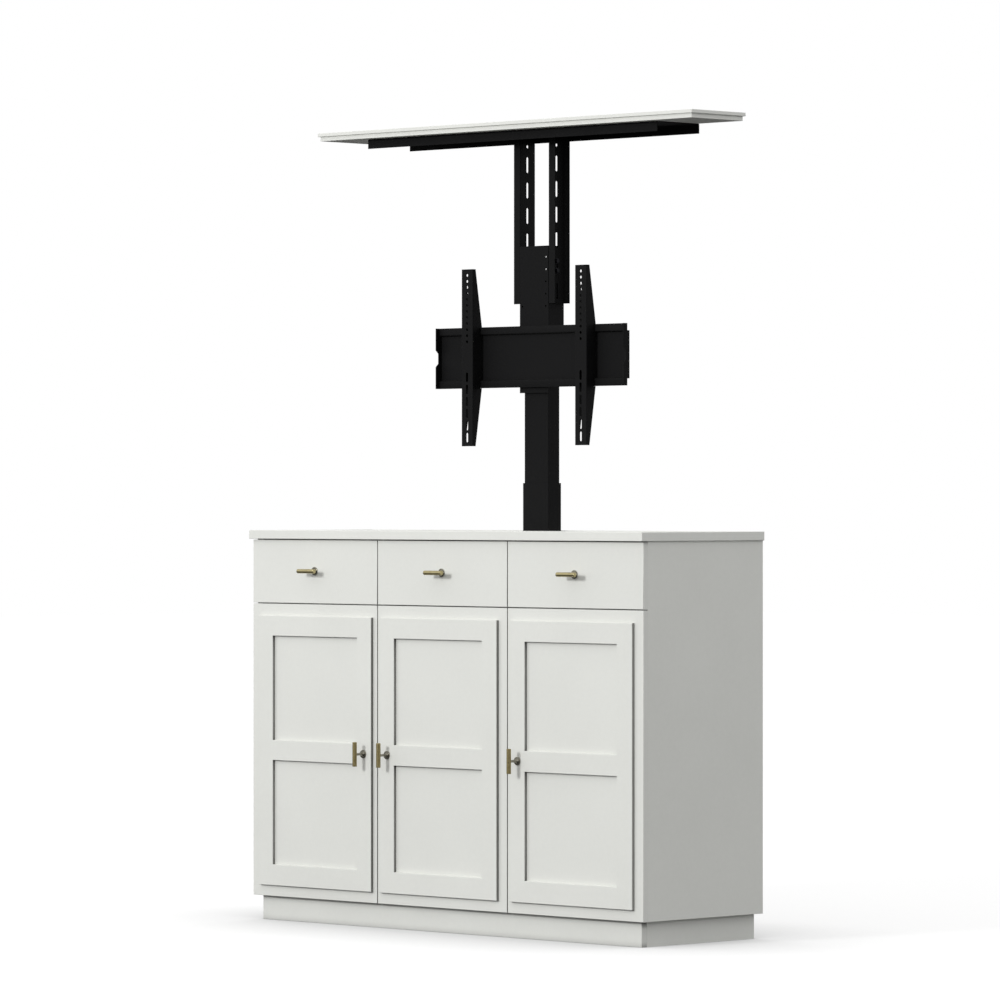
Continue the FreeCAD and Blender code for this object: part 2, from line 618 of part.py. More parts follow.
def runner_zone():
    """The height of a runner's underside."""
    return DECK_TOP + DRAWER_DECK_CLEARANCE + RUNNER_HEIGHT


def drawer_box(index):
    """Two sides with runner grooves, an inner front and a back, and a bottom let into all four."""
    left, right = bay(index)
    left += DRAWER_SIDE_CLEARANCE
    right -= DRAWER_SIDE_CLEARANCE
    inner_left = left + DRAWER_WALL
    inner_right = right - DRAWER_WALL
    front = FRONT_Y + FRONT_THICKNESS
    back = front + DRAWER_BOX_DEPTH
    bottom = DECK_TOP + DRAWER_DECK_CLEARANCE
    top = bottom + DRAWER_BOX_HEIGHT
    walls = [block(left, inner_left, front, back, bottom, top),
             block(inner_right, right, front, back, bottom, top),
             block(inner_left, inner_right, front, front + DRAWER_WALL, bottom, top),
             block(inner_left, inner_right, back - DRAWER_WALL, back, bottom, top)]
    let_in = DRAWER_WALL - DRAWER_GROOVE
    floor = block(left + let_in, right - let_in, front + let_in, back - let_in,
                  bottom + DRAWER_BOTTOM_RISE, bottom + DRAWER_BOTTOM_RISE + DRAWER_BOTTOM)
    depth = RUNNER_SIZE - DRAWER_SIDE_CLEARANCE + SLIDE_GAP
    low = runner_zone() - SLIDE_GAP
    high = runner_zone() + RUNNER_SIZE + SLIDE_GAP
    grooves = [block(x0, x1, CARCASS_Y - SLIDE_GAP, back + 1, low, high)
               for x0, x1 in ((left - 1, left + depth), (right - depth, right + 1))]
    return Part.makeCompound([wall.cut([floor] + grooves) for wall in walls] + [floor])


def drawer_knob(index):
    """The level knob in the middle of a drawer front."""
    piece = knob(Vec(1, 0, 0))
    x = (LINES[index] + LINES[index + 1]) / 2
    piece.translate(Vec(x, FRONT_Y, SEAM_Z + DRAWER_KNOB_HEIGHT))
    return piece


def drawer_rails():
    """The fixed runner bars on both sides of each drawer."""
    rails = []
    low = runner_zone()
    for index in range(COLUMNS):
        left, right = bay(index)
        for x0, x1 in ((left, left + RUNNER_SIZE), (right - RUNNER_SIZE, right)):
            rails.append(block(x0, x1, CARCASS_Y, CARCASS_Y + RUNNER_LENGTH, low, low + RUNNER_SIZE))
    return Part.makeCompound(rails)


# ---------------------------------------------------------------- lift column
def column_foot():
    """The steel plate under the column, just in front of the plinth's back board."""
    back = BACK_Y - PLINTH_BACK_RECESS - PLINTH_BOARD - HOLE_CLEARANCE
    plate = block(-FOOT_PLATE_WIDTH / 2, FOOT_PLATE_WIDTH / 2, back - FOOT_PLATE_DEPTH, back,
                  FOOT_BOARD, FOOT_TOP)
    return plate.makeFillet(FOOT_PLATE_ROUND, edges_along(plate, Vec(0, 0, 1)))


def column_bracket():
    """The bracket that ties the outer tube to the back panel."""
    y0 = COLUMN_Y + OUTER_TUBE_DEPTH / 2
    low = BASE_TOP + BRACKET_LEVEL
    high = low + BRACKET_HEIGHT
    half = BRACKET_WIDTH / 2
    tube_half = OUTER_TUBE_WIDTH / 2 - TUBE_ROUND
    outline = [Vec(-tube_half, y0, low), Vec(tube_half, y0, low),
               Vec(tube_half, BACK_INNER_Y - BRACKET_THICKNESS, low),
               Vec(half, BACK_INNER_Y - BRACKET_THICKNESS, low), Vec(half, BACK_INNER_Y, low),
               Vec(tube_half - BRACKET_THICKNESS, BACK_INNER_Y, low),
               Vec(tube_half - BRACKET_THICKNESS, y0 + BRACKET_THICKNESS, low),
               Vec(-tube_half + BRACKET_THICKNESS, y0 + BRACKET_THICKNESS, low),
               Vec(-tube_half + BRACKET_THICKNESS, BACK_INNER_Y, low),
               Vec(-half, BACK_INNER_Y, low), Vec(-half, BACK_INNER_Y - BRACKET_THICKNESS, low),
               Vec(-tube_half, BACK_INNER_Y - BRACKET_THICKNESS, low)]
    return polygon_face(outline).extrude(Vec(0, 0, high - low))


def glides(outer_width, inner_width, depth, top):
    """Nylon pads on the left and right inside a tube's mouth, which the next stage slides on."""
    pads = []
    half_depth = depth / 2 - TUBE_WALL - TUBE_ROUND
    for side in (-1, 1):
        near = side * (inner_width / 2 + SLIDE_GAP)
        far = side * (outer_width / 2 - TUBE_WALL)
        pads.append(block(min(near, far), max(near, far), COLUMN_Y - half_depth, COLUMN_Y + half_depth,
                          top - GLIDE_HEIGHT, top))
    return Part.makeCompound(pads)


def nut_plate(width, depth, bottom, holes):
    """A plate that closes a tube's lower end, with holes given as pairs of x and radius."""
    half_width = width / 2 - TUBE_WALL
    half_depth = depth / 2 - TUBE_WALL
    plate = block(-half_width, half_width, COLUMN_Y - half_depth, COLUMN_Y + half_depth,
                  bottom, bottom + NUT_PLATE)
    plate = plate.makeFillet(TUBE_ROUND - TUBE_WALL, edges_along(plate, Vec(0, 0, 1)))
    for x, radius in holes:
        plate = plate.cut(Part.makeCylinder(radius, NUT_PLATE + 2, Vec(x, COLUMN_Y, bottom - 1)))
    return plate


def spindles():
    """The two screws, each with the nut plate that it drives.

    The lower one stands on the foot and raises the middle tube, the upper one stands on the
    middle tube's plate and raises the inner tube.
    """
    lower_length = MIDDLE_FLOOR + SPINDLE_TIP - FOOT_TOP
    upper_length = INNER_BOTTOM + NUT_PLATE + SPINDLE_TIP - MIDDLE_FLOOR
    lower_nut = (-SPINDLE_OFFSET, SPINDLE_RADIUS + BORE_CLEARANCE)
    upper_nut = (SPINDLE_OFFSET, SPINDLE_RADIUS + BORE_CLEARANCE)
    lower_pass = (-SPINDLE_OFFSET, SPINDLE_PASS_RADIUS)
    return {
        "lower_spindle": Part.makeCylinder(SPINDLE_RADIUS, lower_length,
                                           Vec(-SPINDLE_OFFSET, COLUMN_Y, FOOT_TOP)),
        "upper_spindle": Part.makeCylinder(SPINDLE_RADIUS, upper_length,
                                           Vec(SPINDLE_OFFSET, COLUMN_Y, MIDDLE_FLOOR)),
        "middle_nut_plate": nut_plate(MIDDLE_TUBE_WIDTH, MIDDLE_TUBE_DEPTH, MIDDLE_BOTTOM, [lower_nut]),
        "inner_nut_plate": nut_plate(INNER_TUBE_WIDTH, INNER_TUBE_DEPTH, INNER_BOTTOM,
                                     [upper_nut, lower_pass]),
    }


def lift_motor():
    """The gear motor beside the outer tube: a gearbox block and a ringed round motor."""
    x0 = OUTER_TUBE_WIDTH / 2
    x1 = x0 + GEARBOX_WIDTH
    middle = BASE_TOP + GEARBOX_HEIGHT / 2
    box = block(x0, x1, COLUMN_Y - GEARBOX_DEPTH / 2, COLUMN_Y + GEARBOX_DEPTH / 2,
                BASE_TOP, BASE_TOP + GEARBOX_HEIGHT)
    box = box.makeFillet(GEARBOX_ROUND, edges_along(box, Vec(0, 0, 1), lambda point: point.x > x0 + 1))
    motor = [Part.makeCylinder(MOTOR_RADIUS, MOTOR_LENGTH, Vec(x1, COLUMN_Y, middle), Vec(1, 0, 0))]
    pitch = (MOTOR_LENGTH - MOTOR_RING_WIDTH) / (MOTOR_RINGS - 1)
    for index in range(MOTOR_RINGS):
        motor.append(Part.makeCylinder(MOTOR_RING_RADIUS, MOTOR_RING_WIDTH,
                                       Vec(x1 + pitch * index, COLUMN_Y, middle), Vec(1, 0, 0)))
    reach = GEARBOX_DEPTH / 2 - GEARBOX_SCREW_INSET
    for x in (x0 + GEARBOX_SCREW_INSET, x1 - GEARBOX_SCREW_INSET):
        for y in (COLUMN_Y - reach, COLUMN_Y + reach):
            motor.append(Part.makeCylinder(SCREW_HEAD_RADIUS, SCREW_HEAD_HEIGHT,
                                           Vec(x, y, BASE_TOP + GEARBOX_HEIGHT)))
    return box.fuse(motor).removeSplitter()


def control_box():
    """The lift's control box on the base panel: seam, vents, motor sockets and mains inlet."""
    x = -CONTROL_BOX_OFFSET
    half = CONTROL_BOX_WIDTH / 2
    back = COLUMN_Y + CONTROL_BOX_DEPTH / 2
    front = back - CONTROL_BOX_DEPTH
    top = BASE_TOP + CONTROL_BOX_HEIGHT
    middle = BASE_TOP + CONTROL_BOX_HEIGHT / 2
    box = block(x - half, x + half, front, back, BASE_TOP, top)
    box = box.makeFillet(CONTROL_BOX_ROUND, edges_along(box, Vec(0, 0, 1)))
    core = block(x - half + CONTROL_BOX_SEAM, x + half - CONTROL_BOX_SEAM, front + CONTROL_BOX_SEAM,
                 back - CONTROL_BOX_SEAM, BASE_TOP, top)
    core = core.makeFillet(CONTROL_BOX_ROUND, edges_along(core, Vec(0, 0, 1)))
    seam = block(x - half - 1, x + half + 1, front - 1, back + 1, middle, middle + CONTROL_BOX_SEAM)
    seam = seam.cut(core)
    cutters = [seam, block(x - INLET_WIDTH / 2, x + INLET_WIDTH / 2, back - INLET_DEPTH, back + 1,
                           middle - INLET_HEIGHT / 2, middle + INLET_HEIGHT / 2)]
    for index in range(CONTROL_BOX_VENTS):
        vent_x = x + (index - (CONTROL_BOX_VENTS - 1) / 2) * CONTROL_BOX_VENT_PITCH
        centre = Vec(vent_x, (front + back) / 2, top)
        cutters.append(slot_cutter(centre, CONTROL_BOX_VENT_LENGTH / 2, CONTROL_BOX_VENT_DEPTH,
                                   2 * CONTROL_BOX_VENT_DEPTH, Vec(0, 0, 1), Vec(0, 1, 0)))
    low = BASE_TOP + CONTROL_BOX_HEIGHT / 4
    for index in (-1, 0, 1):
        socket_x = x + index * SOCKET_PITCH
        cutters.append(block(socket_x - SOCKET_WIDTH / 2, socket_x + SOCKET_WIDTH / 2, front - 1,
                             front + SOCKET_HEIGHT, low - SOCKET_HEIGHT / 2, low + SOCKET_HEIGHT / 2))
    return box.cut(cutters)


# ---------------------------------------------------------------- lift head
def slot_bolts():
    """The places of the four bolts that join the masts to the head, as side and height."""
    middle = MAST_HOLE_Z - MAST_SLOT_DROP - BOLT_SLOT * MAST_SLOT_PITCH
    return [(side, middle + shift) for side in (-1, 1) for shift in (-BOLT_SPREAD, BOLT_SPREAD)]


def head_sleeve():
    """The head: a box over the column's top, open above as a channel, with a long front plate."""
    half = HEAD_WIDTH / 2
    front = block(-half, half, HEAD_Y, HEAD_Y + HEAD_FRONT_WALL, TONGUE_BOTTOM, TONGUE_TOP)
    box = block(-half, half, HEAD_Y, HEAD_BACK_Y, HEAD_BOTTOM, TONGUE_TOP)
    inner = half - HEAD_WALL
    box = box.cut(block(-inner, inner, HEAD_Y + HEAD_FRONT_WALL, HEAD_BACK_Y - HEAD_WALL,
                        HEAD_BOTTOM - 1, INNER_TOP))
    box = box.cut(block(-inner, inner, HEAD_Y + HEAD_FRONT_WALL, HEAD_BACK_Y + 1, HEAD_TOP, TONGUE_TOP + 1))
    shape = front.fuse(box).removeSplitter()
    first = RAIL_TOP + HEAD_HOLE_RISE
    count = int((TONGUE_TOP - first) / HEAD_HOLE_PITCH) + 1
    places = [(HEAD_HOLE_OFFSET, first + index * HEAD_HOLE_PITCH) for index in range(count)]
    places.append((-HEAD_HOLE_OFFSET, first))
    cutters = [Part.makeCylinder(HEAD_HOLE_RADIUS, HEAD_FRONT_WALL + 2, Vec(x, HEAD_Y - 1, z), Vec(0, 1, 0))
               for x, z in places]
    for side, z in slot_bolts():
        cutters.append(Part.makeCylinder(BOLT_HOLE_RADIUS, HEAD_WALL + 2,
                                         Vec(side * (inner - 1), MAST_Y, z), Vec(side, 0, 0)))
    return shape.cut(cutters)


def folded(profile, depth_edges, sheet):
    """A profile extruded along X, its listed folds rounded inside and outside."""
    for (y, z), outside in depth_edges:
        near = [edge for edge in edges_along(profile, Vec(1, 0, 0))
                if abs(edge.CenterOfMass.y - y) < 1e-6 and abs(edge.CenterOfMass.z - z) < 1e-6]
        profile = profile.makeFillet(SHEET_BEND + (sheet if outside else 0), near)
    return profile


def cross_rail():
    """The television rail: a folded hat section with notched end flanges."""
    z0, z3 = RAIL_BOTTOM, RAIL_TOP
    z1, z2 = z0 + RAIL_LIP, z3 - RAIL_LIP
    web = HEAD_Y
    lip = LIP_Y
    t = RAIL_SHEET
    half = RAIL_LENGTH / 2
    points = [(lip, z0), (lip + t, z0), (lip + t, z1 - t), (web, z1 - t), (web, z2 + t), (lip + t, z2 + t),
              (lip + t, z3), (lip, z3), (lip, z2), (web - t, z2), (web - t, z1), (lip, z1)]
    rail = polygon_face([Vec(-half, y, z) for y, z in points]).extrude(Vec(RAIL_LENGTH, 0, 0))
    folds = [((lip + t, z1 - t), False), ((lip + t, z2 + t), False), ((web - t, z2), False),
             ((web - t, z1), False), ((web, z1 - t), True), ((web, z2 + t), True),
             ((lip, z2), True), ((lip, z1), True)]
    rail = folded(rail, folds, t)
    return rail.fuse([rail_end(side) for side in (-1, 1)]).removeSplitter()


def rail_end(side):
    """An end flange that turns towards the television, notched in the middle."""
    x0 = side * (RAIL_LENGTH / 2)
    y_front = HEAD_Y - RAIL_SHEET - RAIL_END_FLANGE
    middle = (RAIL_BOTTOM + RAIL_TOP) / 2
    half = RAIL_NOTCH_HEIGHT / 2
    notch = y_front + RAIL_NOTCH_DEPTH
    outline = [Vec(x0, HEAD_Y, RAIL_BOTTOM + RAIL_LIP - RAIL_SHEET),
               Vec(x0, LIP_Y + RAIL_SHEET, RAIL_BOTTOM + RAIL_LIP - RAIL_SHEET),
               Vec(x0, LIP_Y + RAIL_SHEET, RAIL_BOTTOM), Vec(x0, y_front, RAIL_BOTTOM),
               Vec(x0, y_front, middle - half), Vec(x0, notch, middle - half + RAIL_NOTCH_DEPTH),
               Vec(x0, notch, middle + half - RAIL_NOTCH_DEPTH), Vec(x0, y_front, middle + half),
               Vec(x0, y_front, RAIL_TOP), Vec(x0, LIP_Y + RAIL_SHEET, RAIL_TOP),
               Vec(x0, LIP_Y + RAIL_SHEET, RAIL_TOP - RAIL_LIP + RAIL_SHEET),
               Vec(x0, HEAD_Y, RAIL_TOP - RAIL_LIP + RAIL_SHEET)]
    return polygon_face(outline).extrude(Vec(-side * RAIL_SHEET, 0, 0))


def arm_cheek(x0):
    """One tapered side of a television arm, hooked over the rail's upper lip."""
    y0 = ARM_Y
    bottom = ARM_TOP - ARM_LENGTH
    lip_back = LIP_Y + RAIL_SHEET
    recess = HEAD_Y - RAIL_SHEET - SLIDE_GAP
    z_low = RAIL_BOTTOM + RAIL_LIP
    z_high = RAIL_TOP - RAIL_LIP
    outline = [Vec(x0, y0, bottom), Vec(x0, y0, ARM_TOP), Vec(x0, y0 + ARM_END_DEPTH, ARM_TOP),
               Vec(x0, lip_back + ARM_HOOK, RAIL_TOP + ARM_HOOK),
               Vec(x0, lip_back + ARM_HOOK, RAIL_TOP - ARM_HOOK_DROP),
               Vec(x0, lip_back, RAIL_TOP - ARM_HOOK_DROP), Vec(x0, lip_back, RAIL_TOP),
               Vec(x0, LIP_Y, RAIL_TOP), Vec(x0, LIP_Y, z_high), Vec(x0, recess, z_high - SLIDE_GAP),
               Vec(x0, recess, z_low + SLIDE_GAP), Vec(x0, LIP_Y, z_low),
               Vec(x0, LIP_Y, RAIL_BOTTOM - SLIDE_GAP),
               Vec(x0, lip_back + ARM_HOOK, RAIL_BOTTOM - SLIDE_GAP), Vec(x0, y0 + ARM_END_DEPTH, bottom)]
    return polygon_face(outline).extrude(Vec(ARM_SHEET, 0, 0))


def television_arm(side):
    """A folded arm with round holes above and slots below."""
    x = side * ARM_SPACING / 2
    half = ARM_WIDTH / 2
    bottom = ARM_TOP - ARM_LENGTH
    face = block(x - half, x + half, ARM_Y, ARM_Y + ARM_SHEET, bottom, ARM_TOP)
    shape = face.fuse([arm_cheek(x - half), arm_cheek(x + half - ARM_SHEET)]).removeSplitter()
    shape = shape.makeFillet(ARM_EDGE_ROUND, edges_along(shape, Vec(0, 0, 1),
                                                         lambda middle: abs(middle.y - ARM_Y) < 1e-6))
    cutters = []
    for index in range(ARM_HOLES):
        start = Vec(x, ARM_Y - 1, ARM_TOP - ARM_HOLE_MARGIN - index * ARM_HOLE_PITCH)
        cutters.append(Part.makeCylinder(ARM_HOLE_RADIUS, ARM_SHEET + 2, start, Vec(0, 1, 0)))
    for index in range(ARM_SLOTS):
        centre = Vec(x, ARM_Y + ARM_SHEET / 2, bottom + ARM_SLOT_MARGIN + index * ARM_SLOT_PITCH)
        cutters.append(slot_cutter(centre, ARM_SLOT_LENGTH / 2, ARM_HOLE_RADIUS, ARM_SHEET + 2,
                                   Vec(0, 1, 0), Vec(0, 0, 1)))
    return shape.cut(Part.makeCompound(cutters))


# ---------------------------------------------------------------- mast, tray and lid
def mast_screws():
    """The places of the two screws at the top of each mast, as side and Y."""
    return [(side, y) for side in (-1, 1)
            for y in (HEAD_Y + MAST_SHEET + MAST_SCREW_INSET, HEAD_BACK_Y - MAST_SHEET - MAST_SCREW_INSET)]


def tray_screws():
    """The places of the tray's own screws, in two rows."""
    rows = (TRAY_BACK_Y - TRAY_DEPTH + TRAY_SCREW_INSET, TRAY_BACK_Y - TRAY_SCREW_INSET)
    pitch = (TRAY_LENGTH - 2 * TRAY_SCREW_INSET) / (TRAY_SCREWS - 1)
    return [(-TRAY_LENGTH / 2 + TRAY_SCREW_INSET + pitch * index, y)
            for index in range(TRAY_SCREWS) for y in rows]


def lid_screws():
    """Every screw into the lid, as X, Y and the height of the face under its head."""
    x = HEAD_WIDTH / 2 + MAST_SHEET + MAST_SCREW_INSET
    places = [(side * x, y, MAST_TOP - MAST_SHEET) for side, y in mast_screws()]
    return places + [(x, y, TRAY_TOP - TRAY_SHEET) for x, y in tray_screws()]


def screw_holes(radius):
    """Cutters for the lid's screws, from under their heads to their tips."""
    return [Part.makeCylinder(radius, SCREW_LENGTH, Vec(x, y, z)) for x, y, z in lid_screws()]


def mast_channel(side):
    """A slotted upright, open outwards, that joins the head to the lid's tray."""
    x_web = side * HEAD_WIDTH / 2
    x_tip = side * (HEAD_WIDTH / 2 + MAST_FLANGE)
    outside = block(min(x_web, x_tip), max(x_web, x_tip), HEAD_Y, HEAD_BACK_Y, MAST_BOTTOM, MAST_TOP)
    outside = outside.makeFillet(MAST_ROUND, edges_along(outside, Vec(0, 0, 1),
                                                         lambda middle: abs(middle.x - x_web) < 1e-6))
    x_open = x_tip + side * 1
    inner = x_web + side * MAST_SHEET
    inside = block(min(inner, x_open), max(inner, x_open), HEAD_Y + MAST_SHEET, HEAD_BACK_Y - MAST_SHEET,
                   MAST_BOTTOM - 1, MAST_TOP - MAST_SHEET)
    upper_hole = Part.makeCylinder(MAST_SLOT_WIDTH / 2, 3 * MAST_SHEET,
                                   Vec(x_web - side * MAST_SHEET, MAST_Y, MAST_HOLE_Z), Vec(side, 0, 0))
    cutters = [inside, upper_hole]
    for index in range(MAST_SLOTS):
        centre = Vec(x_web + side * MAST_SHEET / 2, MAST_Y,
                     MAST_HOLE_Z - MAST_SLOT_DROP - MAST_SLOT_PITCH * index)
        cutters.append(slot_cutter(centre, MAST_SLOT_LENGTH / 2, MAST_SLOT_WIDTH / 2, 3 * MAST_SHEET,
                                   Vec(1, 0, 0), Vec(0, 0, 1)))
    return outside.cut(cutters + screw_holes(SCREW_RADIUS))


def lid_tray():
    """The long channel under the lid, its two flanges pointing down."""
    y1 = TRAY_BACK_Y
    y0 = y1 - TRAY_DEPTH
    low = TRAY_TOP - TRAY_HEIGHT
    half = TRAY_LENGTH / 2
    t = TRAY_SHEET
    points = [(y0, low), (y0 + t, low), (y0 + t, TRAY_TOP - t), (y1 - t, TRAY_TOP - t), (y1 - t, low),
              (y1, low), (y1, TRAY_TOP), (y0, TRAY_TOP)]
    tray = polygon_face([Vec(-half, y, z) for y, z in points]).extrude(Vec(TRAY_LENGTH, 0, 0))
    folds = [((y0 + t, TRAY_TOP - t), False), ((y1 - t, TRAY_TOP - t), False),
             ((y0, TRAY_TOP), True), ((y1, TRAY_TOP), True)]
    return folded(tray, folds, t).cut(screw_holes(SCREW_RADIUS))


def hexagon(centre, radius, height, axis):
    """A hexagonal head or nut that stands on a face, its first corner towards +Y."""
    corners = [centre + FreeCAD.Rotation(axis, 60 * index).multVec(Vec(0, 1, 0)) * radius
               for index in range(6)]
    return polygon_face(corners).extrude(axis * height)


def lift_bolts():
    """The bolts with washers and nuts through the masts' slots, and the screws into the lid."""
    pieces = []
    for side, z in slot_bolts():
        out = Vec(side, 0, 0)
        head_face = Vec(side * (HEAD_WIDTH / 2 + MAST_SHEET), MAST_Y, z)
        nut_face = Vec(side * (HEAD_WIDTH / 2 - HEAD_WALL), MAST_Y, z)
        grip = MAST_SHEET + HEAD_WALL
        shank = Part.makeCylinder(BOLT_RADIUS, grip + WASHER_THICKNESS + NUT_HEIGHT,
                                  nut_face - out * NUT_HEIGHT, out)
        washer = Part.makeCylinder(WASHER_RADIUS, WASHER_THICKNESS, head_face, out)
        head = hexagon(head_face + out * WASHER_THICKNESS, BOLT_HEAD_RADIUS, BOLT_HEAD_HEIGHT, out)
        nut = hexagon(nut_face - out * NUT_HEIGHT, BOLT_HEAD_RADIUS, NUT_HEIGHT, out)
        pieces.append(shank.fuse([washer, head, nut]).removeSplitter())
    for x, y, z in lid_screws():
        shank = Part.makeCylinder(SCREW_RADIUS, SCREW_LENGTH, Vec(x, y, z))
        head = Part.makeCylinder(SCREW_HEAD_RADIUS, SCREW_HEAD_HEIGHT, Vec(x, y, z - SCREW_HEAD_HEIGHT))
        pieces.append(shank.fuse(head).removeSplitter())
    return Part.makeCompound(pieces)


def lid_cover():
    """The lid's upper board, whose lip rests on the slab when the lift is down."""
    cover = block(-LID_LENGTH / 2, LID_LENGTH / 2, LID_Y, LID_Y + LID_DEPTH, LID_UNDER, LID_TOP)
    return cover.makeFillet(LID_EDGE_ROUND, cover.Edges)


def lid_plug():
    """The lid's lower board, which fills the slab's cut-out."""
    half = LID_LENGTH / 2 - LID_LIP
    board = block(-half, half, LID_Y + LID_LIP, LID_Y + LID_DEPTH - LID_LIP, TRAY_TOP, LID_UNDER)
    return board.cut(screw_holes(SCREW_RADIUS))


def lift():
    """The fixed and moving stages of the lift and everything its head carries."""
    return {
        "column_foot": column_foot(),
        "column_bracket": column_bracket(),
        "outer_tube": tube(OUTER_TUBE_WIDTH, OUTER_TUBE_DEPTH, FOOT_TOP, OUTER_TOP),
        "outer_glides": glides(OUTER_TUBE_WIDTH, MIDDLE_TUBE_WIDTH, OUTER_TUBE_DEPTH, OUTER_TOP),
        "middle_tube": tube(MIDDLE_TUBE_WIDTH, MIDDLE_TUBE_DEPTH, MIDDLE_BOTTOM, MIDDLE_TOP),
        "middle_glides": glides(MIDDLE_TUBE_WIDTH, INNER_TUBE_WIDTH, MIDDLE_TUBE_DEPTH, MIDDLE_TOP),
        "inner_tube": tube(INNER_TUBE_WIDTH, INNER_TUBE_DEPTH, INNER_BOTTOM, INNER_TOP),
        "lift_motor": lift_motor(),
        "control_box": control_box(),
        "head_sleeve": head_sleeve(),
        "cross_rail": cross_rail(),
        "arm_left": television_arm(-1),
        "arm_right": television_arm(1),
        "mast_left": mast_channel(-1),
        "mast_right": mast_channel(1),
        "lid_tray": lid_tray(),
        "lid_plug": lid_plug(),
        "lid_cover": lid_cover(),
        "lift_bolts": lift_bolts(),
    }


def fronts():
    """Doors, drawers and the fittings that carry them."""
    nodes = {"hinge_arms": hinge_arms(), "drawer_rails": drawer_rails()}
    for index, name in enumerate(NAMES):
        nodes["door_" + name + "_panel"] = door_panel(index)
        nodes["door_" + name + "_frame"] = door_frame(index)
        nodes["door_" + name + "_knob"] = door_knob(index)
        nodes["door_" + name + "_hinge_cups"] = hinge_cups(index)
        nodes["drawer_" + name + "_front"] = drawer_front(index)
        nodes["drawer_" + name + "_box"] = drawer_box(index)
        nodes["drawer_" + name + "_knob"] = drawer_knob(index)
    return nodes


def main():
    """Build every node and write it to parts/."""
    nodes = {}
    for group in (plinth(), carcass(), shelves(), {"top_slab": top_slab()}, fronts(), lift(), spindles()):
        nodes.update(group)
    os.makedirs("parts", exist_ok=True)
    for name, shape in nodes.items():
        if not shape.isValid():
            raise ValueError(name + " is not valid")
        shape.exportStep("parts/" + name + ".step")
    print(len(nodes), "nodes, lift travel", round(TRAVEL, 3), "stage", round(STAGE_TRAVEL, 3))


main()
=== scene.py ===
"""Looks of a television lift cabinet, dressed around its packed construction model.

Every length is in metres, in the model's own frame: the origin is on the floor under the middle
of the cabinet, the fronts face -Y, and the lift stands fully raised.
"""

import json
import logging
import math
from dataclasses import dataclass
from enum import Enum

import bmesh
import bpy
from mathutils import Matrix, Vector

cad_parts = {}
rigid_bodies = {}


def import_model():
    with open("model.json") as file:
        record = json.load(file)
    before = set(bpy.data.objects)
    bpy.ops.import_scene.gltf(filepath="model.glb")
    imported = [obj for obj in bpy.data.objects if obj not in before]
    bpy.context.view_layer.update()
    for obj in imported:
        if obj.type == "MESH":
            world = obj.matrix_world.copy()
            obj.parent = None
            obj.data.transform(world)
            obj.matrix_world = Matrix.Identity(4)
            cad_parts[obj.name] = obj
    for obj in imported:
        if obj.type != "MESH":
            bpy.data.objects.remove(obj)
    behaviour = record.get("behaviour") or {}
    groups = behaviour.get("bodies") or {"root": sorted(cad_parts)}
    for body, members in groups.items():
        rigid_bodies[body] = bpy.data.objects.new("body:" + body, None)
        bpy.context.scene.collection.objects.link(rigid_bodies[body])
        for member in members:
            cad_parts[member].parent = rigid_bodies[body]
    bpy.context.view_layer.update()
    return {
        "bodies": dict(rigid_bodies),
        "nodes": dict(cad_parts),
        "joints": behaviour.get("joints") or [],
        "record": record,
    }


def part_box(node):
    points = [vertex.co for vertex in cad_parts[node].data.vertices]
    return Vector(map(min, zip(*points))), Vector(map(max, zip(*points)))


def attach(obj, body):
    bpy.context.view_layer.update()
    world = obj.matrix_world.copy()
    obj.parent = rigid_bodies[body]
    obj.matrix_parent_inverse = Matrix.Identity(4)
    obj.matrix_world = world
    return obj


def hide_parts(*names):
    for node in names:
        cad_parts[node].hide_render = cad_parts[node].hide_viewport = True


LOG = logging.getLogger("tv_lift_cabinet")
MM = 0.001
COLUMNS = ("left", "centre", "right")

Colour = tuple[float, float, float]
Outline = list[tuple[float, float]]
Socket = bpy.types.NodeSocket


class Axis(Enum):
    """The three row axes, as the index of their coordinate."""

    X = 0
    Y = 1
    Z = 2

    @property
    def vector(self) -> Vector:
        """The unit vector along the axis."""
        return Vector([1.0 if index == self.value else 0.0 for index in range(3)])


class Slot(Enum):
    """The record's material slots, named for each piece made here but not set on it."""

    LACQUER = "white_lacquer"
    LID_UNDERSIDE = "lid_underside"
    STEEL = "black_steel"
    BRASS = "aged_brass"
    ZINC = "zinc_steel"
    PLASTIC = "black_plastic"
    ENAMEL = "motor_enamel"


# ------------------------------------------------------------------ node trees
def linear(red: float, green: float, blue: float) -> tuple[float, float, float, float]:
    """Turns a display colour of 0 to 255 into a linear one, by the sRGB curve.

    Args:
        red: the red channel.
        green: the green channel.
        blue: the blue channel.

    Returns:
        Linear red, green, blue and an alpha of 1.
    """
    def channel(value: float) -> float:
        """One channel's linear value."""
        share = value / 255.0
        return share / 12.92 if share <= 0.04045 else ((share + 0.055) / 1.055) ** 2.4

    return (channel(red), channel(green), channel(blue), 1.0)


